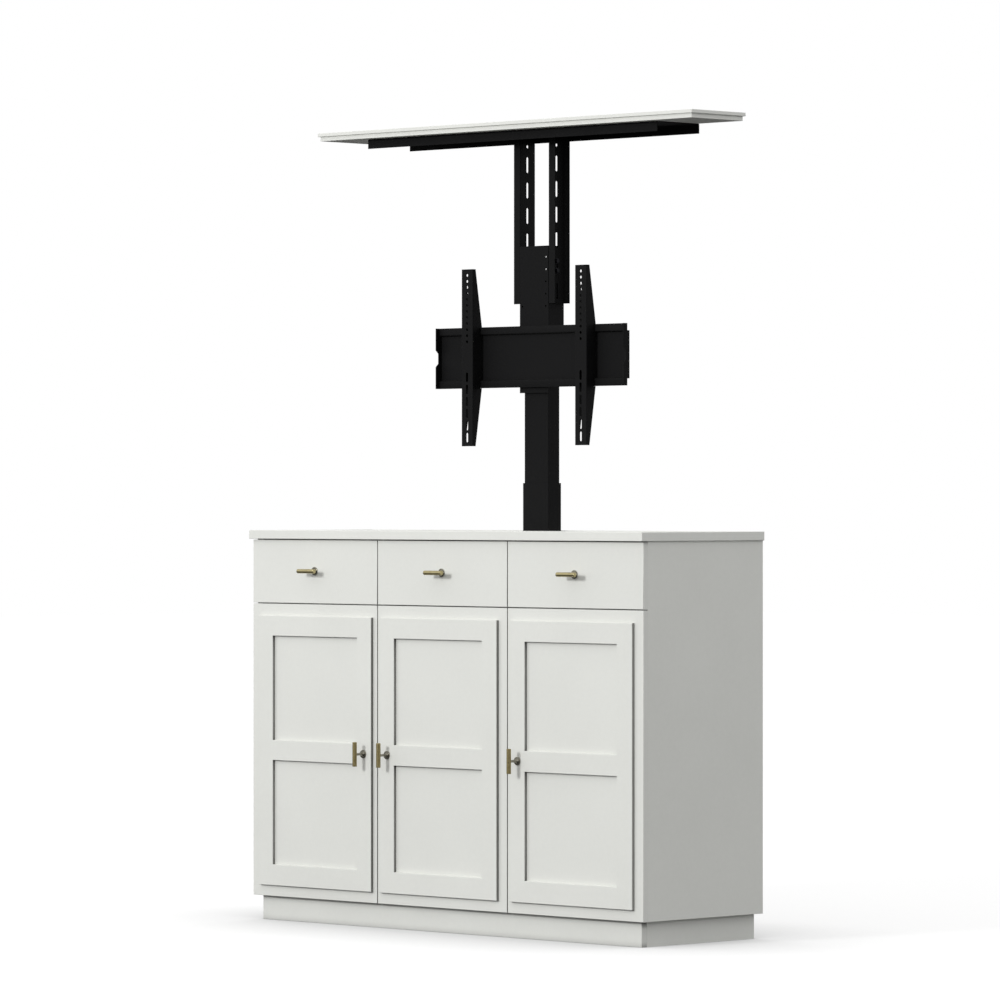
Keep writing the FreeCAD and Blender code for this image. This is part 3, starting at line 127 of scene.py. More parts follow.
@dataclass
class Tree:
    """Adds and links nodes in a material's, a world's or a group's node tree.

    The capitals are the places of a Mix node's sockets, most of which share their names.
    """

    tree: bpy.types.NodeTree
    MIX_SHARE = 0
    MIX_NUMBERS = (2, 3)
    MIXED_NUMBER = 0
    MIX_COLOURS = (6, 7)
    MIXED_COLOUR = 2

    def link(self, source: Socket, target: Socket) -> None:
        """Links an output socket to an input socket."""
        self.tree.links.new(source, target)

    def fill(self, node: bpy.types.Node, **values: object) -> bpy.types.Node:
        """Sets a node's properties and inputs.

        Args:
            node: the node.
            **values: properties by name, or inputs by name with spaces as underscores. An input's
                value may be the socket to link from.

        Returns:
            The same node.
        """
        for key, value in values.items():
            name = key.replace("_", " ")
            if hasattr(node, key):
                setattr(node, key, value)
            elif isinstance(value, Socket):
                self.link(value, node.inputs[name])
            else:
                node.inputs[name].default_value = value
        return node

    def add(self, kind: str, **values: object) -> bpy.types.Node:
        """Adds a node of the type, named without its ShaderNode prefix, and fills it."""
        return self.fill(self.tree.nodes.new("ShaderNode" + kind), **values)

    def group(self, group: bpy.types.NodeTree, **values: object) -> Socket:
        """Places a node group, fills its inputs and gives its output."""
        return self.add("Group", node_tree=group, **values).outputs[0]

    def combine(self, kind: str, operation: str, first: Socket, second: Socket,
                **values: object) -> bpy.types.NodeOutputs:
        """Adds a Math or a VectorMath node with both its inputs linked.

        Args:
            kind: the node's type, Math or VectorMath.
            operation: what it does.
            first: its first input.
            second: its second input.
            **values: what fill takes.

        Returns:
            The node's outputs.
        """
        node = self.add(kind, operation=operation, **values)
        self.link(first, node.inputs[0])
        self.link(second, node.inputs[1])
        return node.outputs

    def product(self, first: Socket, second: Socket) -> Socket:
        """Multiplies two numbers and keeps the result between 0 and 1."""
        return self.combine("Math", "MULTIPLY", first, second, use_clamp=True)["Value"]

    def blend(self, share: Socket, under: Socket | Colour, over: Colour) -> Socket:
        """Lays one colour over another.

        Args:
            share: how much of the upper colour shows.
            under: the lower colour, from a node or as a display colour.
            over: the upper display colour.

        Returns:
            The mixed colour.
        """
        mix = self.add("Mix", data_type="RGBA")
        below, above = (mix.inputs[index] for index in self.MIX_COLOURS)
        above.default_value = linear(*over)
        if isinstance(under, Socket):
            self.link(under, below)
        else:
            below.default_value = linear(*under)
        self.link(share, mix.inputs[self.MIX_SHARE])
        return mix.outputs[self.MIXED_COLOUR]

    def average(self, share: Socket | float, first: Socket, second: Socket) -> Socket:
        """Mixes two numbers.

        Args:
            share: the second number's share.
            first: the first number.
            second: the second number.

        Returns:
            The mixed number.
        """
        mix = self.add("Mix", data_type="FLOAT", Factor=share)
        for source, index in zip((first, second), self.MIX_NUMBERS):
            self.link(source, mix.inputs[index])
        return mix.outputs[self.MIXED_NUMBER]

    def remap(self, value: Socket, **limits: Socket | float) -> Socket:
        """Maps a number from one range to another, given those ends that aren't 0 and 1."""
        return self.add("MapRange", Value=value, **limits).outputs["Result"]

    def place(self) -> Socket:
        """The object's own coordinates."""
        return self.add("TexCoord").outputs["Object"]

    def noise(self, **values: Socket | float) -> Socket:
        """Adds a noise, on the object's own coordinates if no others are given.

        Args:
            **values: what fill takes.

        Returns:
            The noise's value.
        """
        if "Vector" not in values:
            values["Vector"] = self.place()
        return self.add("TexNoise", **values).outputs["Fac"]

    def bump(self, height: Socket, depth: float) -> Socket:
        """Turns a height from 0 to 1, which is the depth, into a bumped normal."""
        return self.add("Bump", Height=height, Distance=depth, Strength=1.0).outputs["Normal"]

    def mix_shaders(self, share: Socket, first: bpy.types.Node, second: bpy.types.Node,
                    output: str) -> None:
        """Mixes two shaders into an output node.

        Args:
            share: the second shader's share.
            first: the first shader.
            second: the second shader.
            output: the name of the output node.
        """
        mix = self.add("MixShader")
        for source, target in zip((share, first.outputs[0], second.outputs[0]), mix.inputs):
            self.link(source, target)
        self.fill(self.tree.nodes[output], Surface=mix.outputs[0])


class EffectGroup:
    """A shared effect as a shader node group with named inputs and one number as its output."""

    def __init__(self, name: str, output: str, **inputs: float | tuple[float, ...]) -> None:
        """Creates the group and its sockets.

        Args:
            name: the group's name.
            output: the output's name.
            **inputs: each input's default by name, with spaces as underscores. A tuple makes a
                vector socket.
        """
        self.tree = bpy.data.node_groups.new(name, "ShaderNodeTree")
        sockets = self.tree.interface
        for key, default in inputs.items():
            kind = "NodeSocketVector" if isinstance(default, tuple) else "NodeSocketFloat"
            socket = sockets.new_socket(key.replace("_", " "), in_out="INPUT", socket_type=kind)
            socket.default_value = default
        sockets.new_socket(output, in_out="OUTPUT", socket_type="NodeSocketFloat")
        self.nodes = Tree(self.tree)
        self.source = self.tree.nodes.new("NodeGroupInput").outputs

    def finish(self, value: Socket) -> bpy.types.NodeTree:
        """Links what the group gives to its output, and gives the group's node tree."""
        self.nodes.link(value, self.tree.nodes.new("NodeGroupOutput").inputs[0])
        return self.tree


def mottle_group() -> bpy.types.NodeTree:
    """Cloudy unevenness of a coat: a wide and a fine noise mixed into one value around 0.5.

    Returns:
        The group.
    """
    effect = EffectGroup("coat_mottle", "Value", Scale=6.0, Fine_Scale=90.0, Fine_Share=0.35)
    nodes, source = effect.nodes, effect.source
    wide = nodes.noise(Scale=source["Scale"], Detail=3.0, Roughness=0.55)
    fine = nodes.noise(Scale=source["Fine Scale"], Detail=2.0, Roughness=0.6)
    return effect.finish(nodes.average(source["Fine Share"], wide, fine))


def grain_group() -> bpy.types.NodeTree:
    """Fine lines along one direction: noise on stretched coordinates.

    Returns:
        The group.
    """
    effect = EffectGroup("brush_grain", "Value", Stretch=(1.0, 1.0, 1.0), Scale=400.0)
    nodes, source = effect.nodes, effect.source
    stretched = nodes.combine("VectorMath", "MULTIPLY", nodes.place(), source["Stretch"])
    return effect.finish(nodes.noise(Vector=stretched["Vector"], Scale=source["Scale"],
                                     Detail=4.0, Roughness=0.65))


def speck_group() -> bpy.types.NodeTree:
    """Scattered small specks: dust nibs in lacquer or grains in a powder coat, as a mask.

    Returns:
        The group.
    """
    effect = EffectGroup("specks", "Mask", Scale=60.0, Size=0.06)
    nodes, source = effect.nodes, effect.source
    cells = nodes.add("TexVoronoi", Vector=nodes.place(), Scale=source["Scale"])
    near = nodes.combine("Math", "LESS_THAN", cells.outputs["Distance"], source["Size"])
    return effect.finish(near["Value"])


def dust_group() -> bpy.types.NodeTree:
    """A thin veil of dust: strongest on faces that look up, broken by noise, as a mask.

    Returns:
        The group.
    """
    effect = EffectGroup("dust_veil", "Mask", Amount=0.3, Scale=14.0)
    nodes, source = effect.nodes, effect.source
    upward = nodes.add("SeparateXYZ", Vector=nodes.add("NewGeometry").outputs["Normal"])
    rise = nodes.remap(upward.outputs["Z"], From_Min=0.2, From_Max=1.0)
    cloud = nodes.noise(Scale=source["Scale"], Detail=5.0, Roughness=0.6)
    veil = nodes.product(rise, nodes.remap(cloud, From_Min=0.35, From_Max=0.7))
    return effect.finish(nodes.product(veil, source["Amount"]))


def painted_shade_group() -> bpy.types.NodeTree:
    """Painted shade in seams and inner corners, as a mask: deepest where something stands on the
    Lean's side.

    The Lean points to where the lamp's light comes from, and it turns with the piece.
    A face turned from it gets the full painted shade over the Turned Reach. One that faces past it
    gets the Flat Share. Where a step falls away on the Lean's side, no shade is painted.

    Returns:
        The group.
    """
    effect = EffectGroup("painted_shade", "Mask", Reach=0.02, Turned_Reach=0.02, Amount=0.8,
                         Flat_Share=0.35, Lean=(-0.4, 0.0, 0.15))
    nodes, source = effect.nodes, effect.source
    normal = nodes.add("NewGeometry").outputs["Normal"]
    lean = nodes.add("VectorTransform", vector_type="VECTOR", convert_from="OBJECT",
                     convert_to="WORLD", Vector=source["Lean"]).outputs["Vector"]
    facing = nodes.combine("VectorMath", "DOT_PRODUCT", normal, lean)["Value"]
    fully_turned = -0.1
    reach = nodes.remap(facing, From_Min=0.0, From_Max=fully_turned, To_Min=source["Reach"],
                        To_Max=source["Turned Reach"])
    share = nodes.remap(facing, From_Min=0.0, From_Max=fully_turned, To_Min=source["Flat Share"])
    leant = nodes.add("VectorMath", operation="NORMALIZE",
                      Vector=nodes.combine("VectorMath", "ADD", normal, lean)["Vector"])
    # Ambient occlusion drives the painted shade; no light is cast here.
    open_sky = nodes.add("AmbientOcclusion", samples=12, Normal=leant.outputs["Vector"],
                         Distance=reach)
    closed = nodes.remap(open_sky.outputs["AO"], From_Min=0.93, From_Max=0.4)
    return effect.finish(nodes.product(nodes.product(closed, share), source["Amount"]))


class Effects:
    """The shared node groups, built once."""

    def __init__(self) -> None:
        """Builds every group."""
        self.mottle = mottle_group()
        self.grain = grain_group()
        self.specks = speck_group()
        self.dust = dust_group()
        self.painted_shade = painted_shade_group()


# ------------------------------------------------------------------ finishes
def blank_material(name: str) -> tuple[bpy.types.Material, Tree, bpy.types.Node]:
    """Starts a material.

    Args:
        name: the material's name.

    Returns:
        The material, its node tree and its shader.
    """
    material = bpy.data.materials.new(name)
    material.use_nodes = True
    return material, Tree(material.node_tree), material.node_tree.nodes["Principled BSDF"]


@dataclass(frozen=True)
class CoatFinish:
    """A sprayed coat on a smooth ground: lacquer, powder coat, enamel, moulded plastic.

    The coat's colour drifts between two tones, its gloss drifts with it, and a fine bump gives
    the orange peel or the powder's grain.
    """

    name: str
    tone: Colour
    shade: Colour
    roughness: tuple[float, float]
    peel_scale: float
    mottle_scale: float
    speck_scale: float
    speck_size: float
    speck_tone: Colour
    peel_depth: float = 0.00005
    coat: float = 0.0
    coat_roughness: float = 0.15
    specular: float = 0.5
    dust: float = 0.0
    dust_tone: Colour = (190, 186, 178)
    # The next five fields set the painted shade in seams and inner corners: its strength, its
    # reaches, its share on faces that look past the lamp's side, and its dark tone.
    painted_shade: float = 0.0
    painted_shade_reach: float = 0.02
    turned_reach: float = 0.02
    flat_share: float = 0.35
    painted_shade_tone: Colour = (60, 59, 56)

    def build(self, effects: Effects) -> bpy.types.Material:
        """Makes the material.

        Args:
            effects: the shared node groups.

        Returns:
            The finished material.
        """
        material, nodes, shader = blank_material(self.name)
        mottle = nodes.group(effects.mottle, Scale=self.mottle_scale)
        specks = nodes.group(effects.specks, Scale=self.speck_scale, Size=self.speck_size)
        dust = nodes.group(effects.dust, Amount=self.dust)
        tone = nodes.remap(mottle, From_Min=0.35, From_Max=0.65)
        colour = nodes.blend(tone, self.shade, self.tone)
        colour = nodes.blend(specks, colour, self.speck_tone)
        colour = nodes.blend(dust, colour, self.dust_tone)
        # Painted shade: seams and inner corners are darkened towards a dark tone, most on faces
        # turned from the lamp.
        if self.painted_shade > 0.0:
            painted_shade = nodes.group(effects.painted_shade, Reach=self.painted_shade_reach, Amount=self.painted_shade,
                                  Turned_Reach=self.turned_reach, Flat_Share=self.flat_share)
            colour = nodes.blend(painted_shade, colour, self.painted_shade_tone)
        glossy, dull = self.roughness
        gloss = nodes.remap(mottle, From_Min=0.3, From_Max=0.7, To_Min=glossy, To_Max=dull)
        peel = nodes.noise(Scale=self.peel_scale, Detail=2.0)
        nodes.fill(shader, Base_Color=colour, Roughness=gloss, Specular_IOR_Level=self.specular,
                   Coat_Weight=self.coat, Coat_Roughness=self.coat_roughness,
                   Normal=nodes.bump(peel, self.peel_depth))
        return material


@dataclass(frozen=True)
class MetalFinish:
    """A bare or plated metal with brushed lines and a patina that gathers in patches."""

    name: str
    bright: Colour
    dark: Colour
    stretch: tuple[float, float, float]
    grain_scale: float = 500.0
    roughness: tuple[float, float] = (0.22, 0.42)
    patina_scale: float = 60.0
    patina_share: float = 0.5
    depth: float = 0.00002

    def build(self, effects: Effects) -> bpy.types.Material:
        """Makes the material.

        Args:
            effects: the shared node groups.

        Returns:
            The finished material.
        """
        material, nodes, shader = blank_material(self.name)
        grain = nodes.group(effects.grain, Stretch=self.stretch, Scale=self.grain_scale)
        patina = nodes.group(effects.mottle, Scale=self.patina_scale)
        mixed = nodes.average(self.patina_share, grain, patina)
        spread = nodes.remap(mixed, From_Min=0.36, From_Max=0.64)
        glossy, dull = self.roughness
        nodes.fill(shader, Metallic=1.0, Base_Color=nodes.blend(spread, self.dark, self.bright),
                   Roughness=nodes.remap(spread, To_Min=dull, To_Max=glossy),
                   Normal=nodes.bump(grain, self.depth))
        return material


class Palette:
    """Every material of the cabinet, built once and asked for by name."""

    FINISHES = (
        # The three white finishes stand for one white paint. The fronts' lacquer and the plinth's
        # lacquer also carry painted shade in seams and inner corners.
        CoatFinish("lacquer", (228, 229, 224), (224, 225, 220), roughness=(0.34, 0.44),
                   peel_scale=420.0, peel_depth=0.00003, mottle_scale=3.0, speck_scale=26.0,
                   speck_size=0.012, speck_tone=(214, 214, 208), dust=0.05,
                   dust_tone=(206, 203, 196), painted_shade=0.95, painted_shade_reach=0.012,
                   turned_reach=0.06, flat_share=0.15),
        CoatFinish("satin_lacquer", (229, 230, 225), (225, 226, 221), roughness=(0.42, 0.52),
                   peel_scale=300.0, mottle_scale=4.0, speck_scale=30.0, speck_size=0.015,
                   speck_tone=(206, 204, 198)),
        # The plinth's lacquer is painted a little darker and carries more painted shade, as shade
        # under the slab's overhang.
        CoatFinish("plinth_lacquer_with_painted_shade", (227, 228, 223), (223, 224, 219), roughness=(0.42, 0.52),
                   peel_scale=300.0, mottle_scale=4.0, speck_scale=30.0, speck_size=0.015,
                   speck_tone=(206, 204, 198), painted_shade=0.95, flat_share=0.4),
        # melamine and powder_coat also carry painted shade in seams and inner corners, the powder
        # coat towards near-black.
        CoatFinish("melamine", (216, 216, 210), (209, 209, 203), roughness=(0.38, 0.5),
                   peel_scale=900.0, peel_depth=0.00002, mottle_scale=8.0, speck_scale=80.0,
                   speck_size=0.03, speck_tone=(196, 195, 188), dust=0.25, painted_shade=0.6),
        CoatFinish("powder_coat", (12, 12, 13), (9, 9, 10), roughness=(0.58, 0.7),
                   peel_scale=1400.0, peel_depth=0.00006, mottle_scale=12.0, speck_scale=320.0,
                   speck_size=0.1, speck_tone=(26, 26, 28), specular=0.12, dust=0.06,
                   dust_tone=(70, 69, 66), painted_shade=0.7, painted_shade_reach=0.03, turned_reach=0.03,
                   painted_shade_tone=(5, 5, 5)),
        CoatFinish("moulding", (26, 26, 28), (21, 21, 23), roughness=(0.45, 0.55), specular=0.3,
                   peel_scale=1800.0, peel_depth=0.00004, mottle_scale=20.0, speck_scale=500.0,
                   speck_size=0.12, speck_tone=(36, 36, 38), dust=0.15, dust_tone=(90, 88, 84)),
        CoatFinish("enamel", (58, 59, 62), (50, 51, 54), roughness=(0.28, 0.36),
                   peel_scale=260.0, peel_depth=0.00006, mottle_scale=16.0, speck_scale=200.0,
                   speck_size=0.05, speck_tone=(76, 76, 78), coat=0.3, dust=0.2,
                   dust_tone=(120, 117, 110)),
        CoatFinish("nylon", (214, 211, 200), (204, 200, 188), roughness=(0.5, 0.6),
                   peel_scale=700.0, mottle_scale=40.0, speck_scale=200.0, speck_size=0.04,
                   speck_tone=(188, 184, 172)),
        CoatFinish("felt", (66, 64, 60), (52, 50, 47), roughness=(0.9, 1.0), specular=0.1,
                   peel_scale=2600.0, peel_depth=0.0001, mottle_scale=60.0, speck_scale=900.0,
                   speck_size=0.12, speck_tone=(92, 90, 84)),
        CoatFinish("lens", (58, 128, 82), (44, 108, 66), roughness=(0.08, 0.14), coat=0.6,
                   peel_scale=500.0, peel_depth=0.00001, mottle_scale=80.0, speck_scale=400.0,
                   speck_size=0.04, speck_tone=(96, 160, 116)),
        # The two brass finishes stand for one brass: the level bars are painted lighter and the
        # upright bars darker, painted light and painted shade for how each bar catches the lamp.
        # The stretch turns the brushed grain along each bar.
        MetalFinish("brass_level_painted_lighter", (198, 187, 145), (154, 142, 102), stretch=(0.04, 1.0, 1.0)),
        MetalFinish("brass_upright_painted_darker", (166, 154, 114), (124, 111, 74), stretch=(1.0, 1.0, 0.04)),
        MetalFinish("pewter_turned", (160, 157, 145), (102, 98, 87), stretch=(1.0, 0.1, 1.0),
                    roughness=(0.12, 0.3)),
        MetalFinish("blackened", (44, 44, 47), (26, 26, 28), stretch=(1.0, 0.2, 1.0),
                    roughness=(0.34, 0.5), patina_scale=120.0),
        MetalFinish("zinc", (206, 208, 212), (168, 170, 176), stretch=(1.0, 1.0, 0.2),
                    roughness=(0.2, 0.38), patina_scale=90.0),
    )

    def __init__(self) -> None:
        """Builds the effects and every finish."""
        effects = Effects()
        self.materials = {finish.name: finish.build(effects) for finish in self.FINISHES}

    def __getitem__(self, name: str) -> bpy.types.Material:
        """The material of that name."""
        return self.materials[name]


# ------------------------------------------------------------------ forms
class Form:
    """A mesh under construction, whose points are in the row frame."""

    SHARP = math.radians(50.0)
    SAME_PLANE = math.radians(0.8)
    SAME_POINT = 2e-6
    QUARTER_TURN = [math.radians(angle) for angle in (0.0, 30.0, 60.0, 90.0)]
    SCREW_HEAD = ((0.0, 0.0), (1.0, 0.0), (1.0, 0.35), (0.92, 0.7), (0.74, 1.0), (0.46, 1.0),
                  (0.43, 0.4), (0.0, 0.3))
    SCREW_STEPS = 36
    RECESS_LIMIT = 0.5
    RECESS_LOBES = 6.0
    LOBE_DEPTH = 0.16
    LOBE_INSET = 0.1

    def __init__(self) -> None:
        """Starts with an empty mesh."""
        self.mesh = bmesh.new()

    @classmethod
    def of_node(cls, node: str, rounding: float, segments: int) -> "Form":
        """Copies a construction node, joins its triangles and rounds its sharp edges.

        Args:
            node: the node's name.
            rounding: the width of the rounding, or 0 for none.
            segments: faces across each rounding.

        Returns:
            The copied form.
        """
        form = cls()
        mesh = form.mesh
        mesh.from_mesh(bpy.data.objects[node].data)
        bmesh.ops.remove_doubles(mesh, verts=mesh.verts, dist=cls.SAME_POINT)
        bmesh.ops.dissolve_limit(mesh, angle_limit=cls.SAME_PLANE, verts=mesh.verts,
                                 edges=mesh.edges)
        if rounding > 0.0:
            form.round_edges(rounding, segments)
        return form

    def round_edges(self, rounding: float, segments: int) -> None:
        """Rounds the sharp edges.

        Args:
            rounding: the width taken off each face.
            segments: faces across each rounding.
        """
        sharp = [edge for edge in self.mesh.edges
                 if len(edge.link_faces) == 2 and edge.calc_face_angle(0.0) > self.SHARP]
        bmesh.ops.bevel(self.mesh, geom=sharp, offset=rounding, offset_type="OFFSET",
                        affect="EDGES", segments=segments, profile=0.5, material=-1,
                        clamp_overlap=False)

    def lathe(self, profile: Outline, centre: Vector, axis: Vector, steps: int,
              hollow: bool = False) -> "Form":
        """Turns an outline round an axis.

        Args:
            profile: pairs of radius and height along the axis, from the axis back to it.
            centre: the point at height 0.
            axis: the unit vector along the axis.
            steps: faces round the axis.
            hollow: whether the outline closes on itself beside the axis, as a ring's does.

        Returns:
            The same form.
        """
        side = axis.orthogonal().normalized()
        points = [self.mesh.verts.new(centre + side * radius + axis * height)
                  for radius, height in profile]
        lines = [self.mesh.edges.new(pair) for pair in zip(points, points[1:])]
        if hollow:
            lines.append(self.mesh.edges.new((points[-1], points[0])))
        before = set(self.mesh.verts) - set(points)
        bmesh.ops.spin(self.mesh, geom=points + lines, cent=centre, axis=axis, angle=math.tau,
                       steps=steps, use_merge=True)
        made = [point for point in self.mesh.verts if point not in before]
        bmesh.ops.remove_doubles(self.mesh, verts=made, dist=self.SAME_POINT)
        return self

    def rod(self, start: Vector, axis: Vector, length: float, radius: float, rounding: float,
            steps: int) -> "Form":
        """Adds a round bar whose ends are rounded.

        Args:
            start: the centre of one end.
            axis: the unit vector along the bar.
            length: the bar's length.
            radius: the bar's radius.
            rounding: the ends' rounding.
            steps: faces round the bar.

        Returns:
            The same form.
        """
        near = [(radius - rounding + rounding * math.sin(turn),
                 rounding - rounding * math.cos(turn)) for turn in self.QUARTER_TURN]
        far = [(reach, length - height) for reach, height in reversed(near)]
        return self.lathe([(0.0, 0.0)] + near + far + [(0.0, length)], start, axis, steps)

    def screw(self, seat: Vector, axis: Vector, radius: float, height: float) -> None:
        """Adds a pan head with a six-lobed recess.

        Args:
            seat: the middle of the face that the head lies on.
            axis: the unit vector out of the face.
            radius: the head's radius.
            height: the head's height.
        """
        before = set(self.mesh.verts)
        profile = [(across * radius, up * height) for across, up in self.SCREW_HEAD]
        self.lathe(profile, seat, axis, self.SCREW_STEPS)
        side = axis.orthogonal().normalized()
        for point in set(self.mesh.verts) - before:
            out = (point.co - seat) - axis * (point.co - seat).dot(axis)
            if self.SAME_POINT / 2.0 < out.length < self.RECESS_LIMIT * radius:
                turn = math.atan2(out.dot(axis.cross(side)), out.dot(side))
                point.co += out * (self.LOBE_DEPTH * math.cos(self.RECESS_LOBES * turn)
                                   - self.LOBE_INSET)

    def solid(self) -> bpy.types.Mesh:
        """Turns the form into mesh data with outward normals and smooth shading.

        Returns:
            The mesh data.
        """
        bmesh.ops.recalc_face_normals(self.mesh, faces=self.mesh.faces)
        for face in self.mesh.faces:
            face.smooth = True
        data = bpy.data.meshes.new("form")
        self.mesh.to_mesh(data)
        self.mesh.free()
        data.set_sharp_from_angle(angle=self.SHARP)
        return data


@dataclass
class Workshop:
    """Makes pieces of forms: names them, dresses them and puts them on their bodies."""

    frame: dict
    palette: Palette

    def piece(self, name: str, form: Form, material: str, body: str, slot: Slot,
              stands_for: tuple[str, ...] = ()) -> None:
        """Finishes a form as a piece of the object.

        Args:
            name: the piece's name.
            form: its shape.
            material: the material's name.
            body: the body that it rides on.
            slot: its material slot in the record; not used.
            stands_for: construction nodes that it replaces.
        """
        data = form.solid()
        data.name = name
        data.materials.append(self.palette[material])
        piece = bpy.data.objects.new(name, data)
        bpy.context.scene.collection.objects.link(piece)
        even = piece.modifiers.new("even_normals", "WEIGHTED_NORMAL")
        even.keep_sharp = True
        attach(piece, body)
        if stands_for:
            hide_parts(*stands_for)
        LOG.info("%s: %d faces on %s", name, len(data.polygons), body)

    def dress(self, node: str, material: str) -> None:
        """Gives a construction node its material, with its shape as it is.

        Args:
            node: the node's name.
            material: the material's name.
        """
        data = self.frame["nodes"][node].data
        data.materials.clear()
        data.materials.append(self.palette[material])
        LOG.info("%s: dressed in %s", node, material)

    def recut(self, node: str, material: str, body: str, slot: Slot, rounding: float = 0.0,
              segments: int = 2) -> None:
        """Replaces a node of one solid by a smoothly shaded copy, with rounded edges if asked."""
        form = Form.of_node(node, rounding, segments)
        self.piece(node + "_finished", form, material, body, slot, (node,))


# ------------------------------------------------------------------ sub-assemblies
@dataclass
class Carcass:
    """The standing cabinet: plinth, boards, shelves, hinge arms and drawer rails."""

    shop: Workshop
    edge: float = 0.6 * MM
    slab_edge: float = 1.2 * MM
    port_inset: float = 218.0 * MM
    port_rise: float = 108.0 * MM
    port_radius: float = 29.8 * MM
    sleeve_wall: float = 2.2 * MM
    sleeve_length: float = 8.8 * MM
    flange_radius: float = 34.0 * MM
    flange: float = 1.6 * MM
    flange_edge: float = 0.64 * MM
    SIDES = ("side_left", "side_right")
    BOARDS = ("base_panel", "back_panel", "divider_left", "divider_right", "partition",
              "drawer_decks", "shelves", "foot_board")

    def build(self) -> None:
        """Builds the boards and dresses the fittings."""
        for node in self.SIDES:
            self.shop.recut(node, "satin_lacquer", "cabinet", Slot.LACQUER, self.edge)
        self.shop.recut("plinth_front", "plinth_lacquer_with_painted_shade", "cabinet", Slot.LACQUER, self.edge)
        self.shop.recut("top_slab", "satin_lacquer", "cabinet", Slot.LACQUER, self.slab_edge,
                        segments=3)
        self.shop.dress("plinth_frame", "satin_lacquer")
        for node in self.BOARDS:
            self.shop.dress(node, "melamine")
        for node in ("hinge_arms", "shelf_pins"):
            self.shop.dress(node, "zinc")
        self.shop.dress("drawer_rails", "nylon")
        self.port_sleeves()

    def port_sleeves(self) -> None:
        """Lines the two cable ports of the back with flanged sleeves."""
        low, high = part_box("back_panel")
        inner = self.port_radius - self.sleeve_wall
        profile = [(inner, -self.flange), (self.flange_radius - self.flange_edge, -self.flange),
                   (self.flange_radius, self.flange_edge - self.flange), (self.flange_radius, 0.0),
                   (self.port_radius, 0.0), (self.port_radius, self.sleeve_length),
                   (inner, self.sleeve_length)]
        form = Form()
        for x in (low.x + self.port_inset, high.x - self.port_inset):
            centre = Vector((x, low.y, low.z + self.port_rise))
            form.lathe(profile, centre, Axis.Y.vector, steps=56, hollow=True)
        self.shop.piece("cable_port_sleeves", form, "moulding", "cabinet", Slot.PLASTIC)


@dataclass
class Knob:
    """A T knob: a round bar on a flared neck with a rose against the face."""

    shop: Workshop
    node: str
    body: str
    run: Axis
    steps: int = 40
    bar_radius: float = 5.6 * MM
    end_rounding: float = 1.2 * MM
    neck_radius: float = 3.2 * MM
    flare_radius: float = 7.2 * MM
    flare_length: float = 10.0 * MM
    flare_power: float = 2.2
    flare_steps: int = 8
    rose_radius: float = 10.4 * MM
    rose_thickness: float = 2.6 * MM
    rose_edge: float = 0.6 * MM

    def build(self) -> None:
        """Builds the bar and the neck with its rose."""
        low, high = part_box(self.node)
        middle = (low + high) / 2.0
        bar_y = low.y + self.bar_radius
        start = Vector((middle.x, bar_y, middle.z))
        length = (high - low)[self.run.value]
        start[self.run.value] -= length / 2.0
        bar = Form().rod(start, self.run.vector, length, self.bar_radius, self.end_rounding,
                         self.steps)
        # Upright bars take the darker brass and level bars the lighter one: painted shade and
        # painted light, not two metals.
        grain = "brass_upright_painted_darker" if self.run is Axis.Z else "brass_level_painted_lighter"
        self.shop.piece(self.node + "_bar", bar, grain, self.body, Slot.BRASS, (self.node,))
        seat = Vector((middle.x, high.y, middle.z))
        neck = Form().lathe(self.neck_profile(high.y - bar_y), seat, -Axis.Y.vector, self.steps)
        self.shop.piece(self.node + "_neck", neck, "pewter_turned", self.body, Slot.BRASS,
                        (self.node,))

    def neck_profile(self, reach: float) -> Outline:
        """The outline of rose and neck.

        Args:
            reach: the distance from the face to the bar's axis.

        Returns:
            Pairs of radius and height over the face.
        """
        rim, top, edge = self.rose_radius, self.rose_thickness, self.rose_edge
        crown = 0.3 * edge
        profile = [(0.0, 0.0), (rim, 0.0), (rim, top - edge), (rim - crown, top - crown),
                   (rim - edge, top)]
        flare = self.flare_radius - self.neck_radius
        for step in range(self.flare_steps + 1):
            share = step / self.flare_steps
            profile.append((self.neck_radius + flare * (1.0 - share) ** self.flare_power,
                            top + self.flare_length * share))
        return profile + [(self.neck_radius, reach), (0.0, reach)]


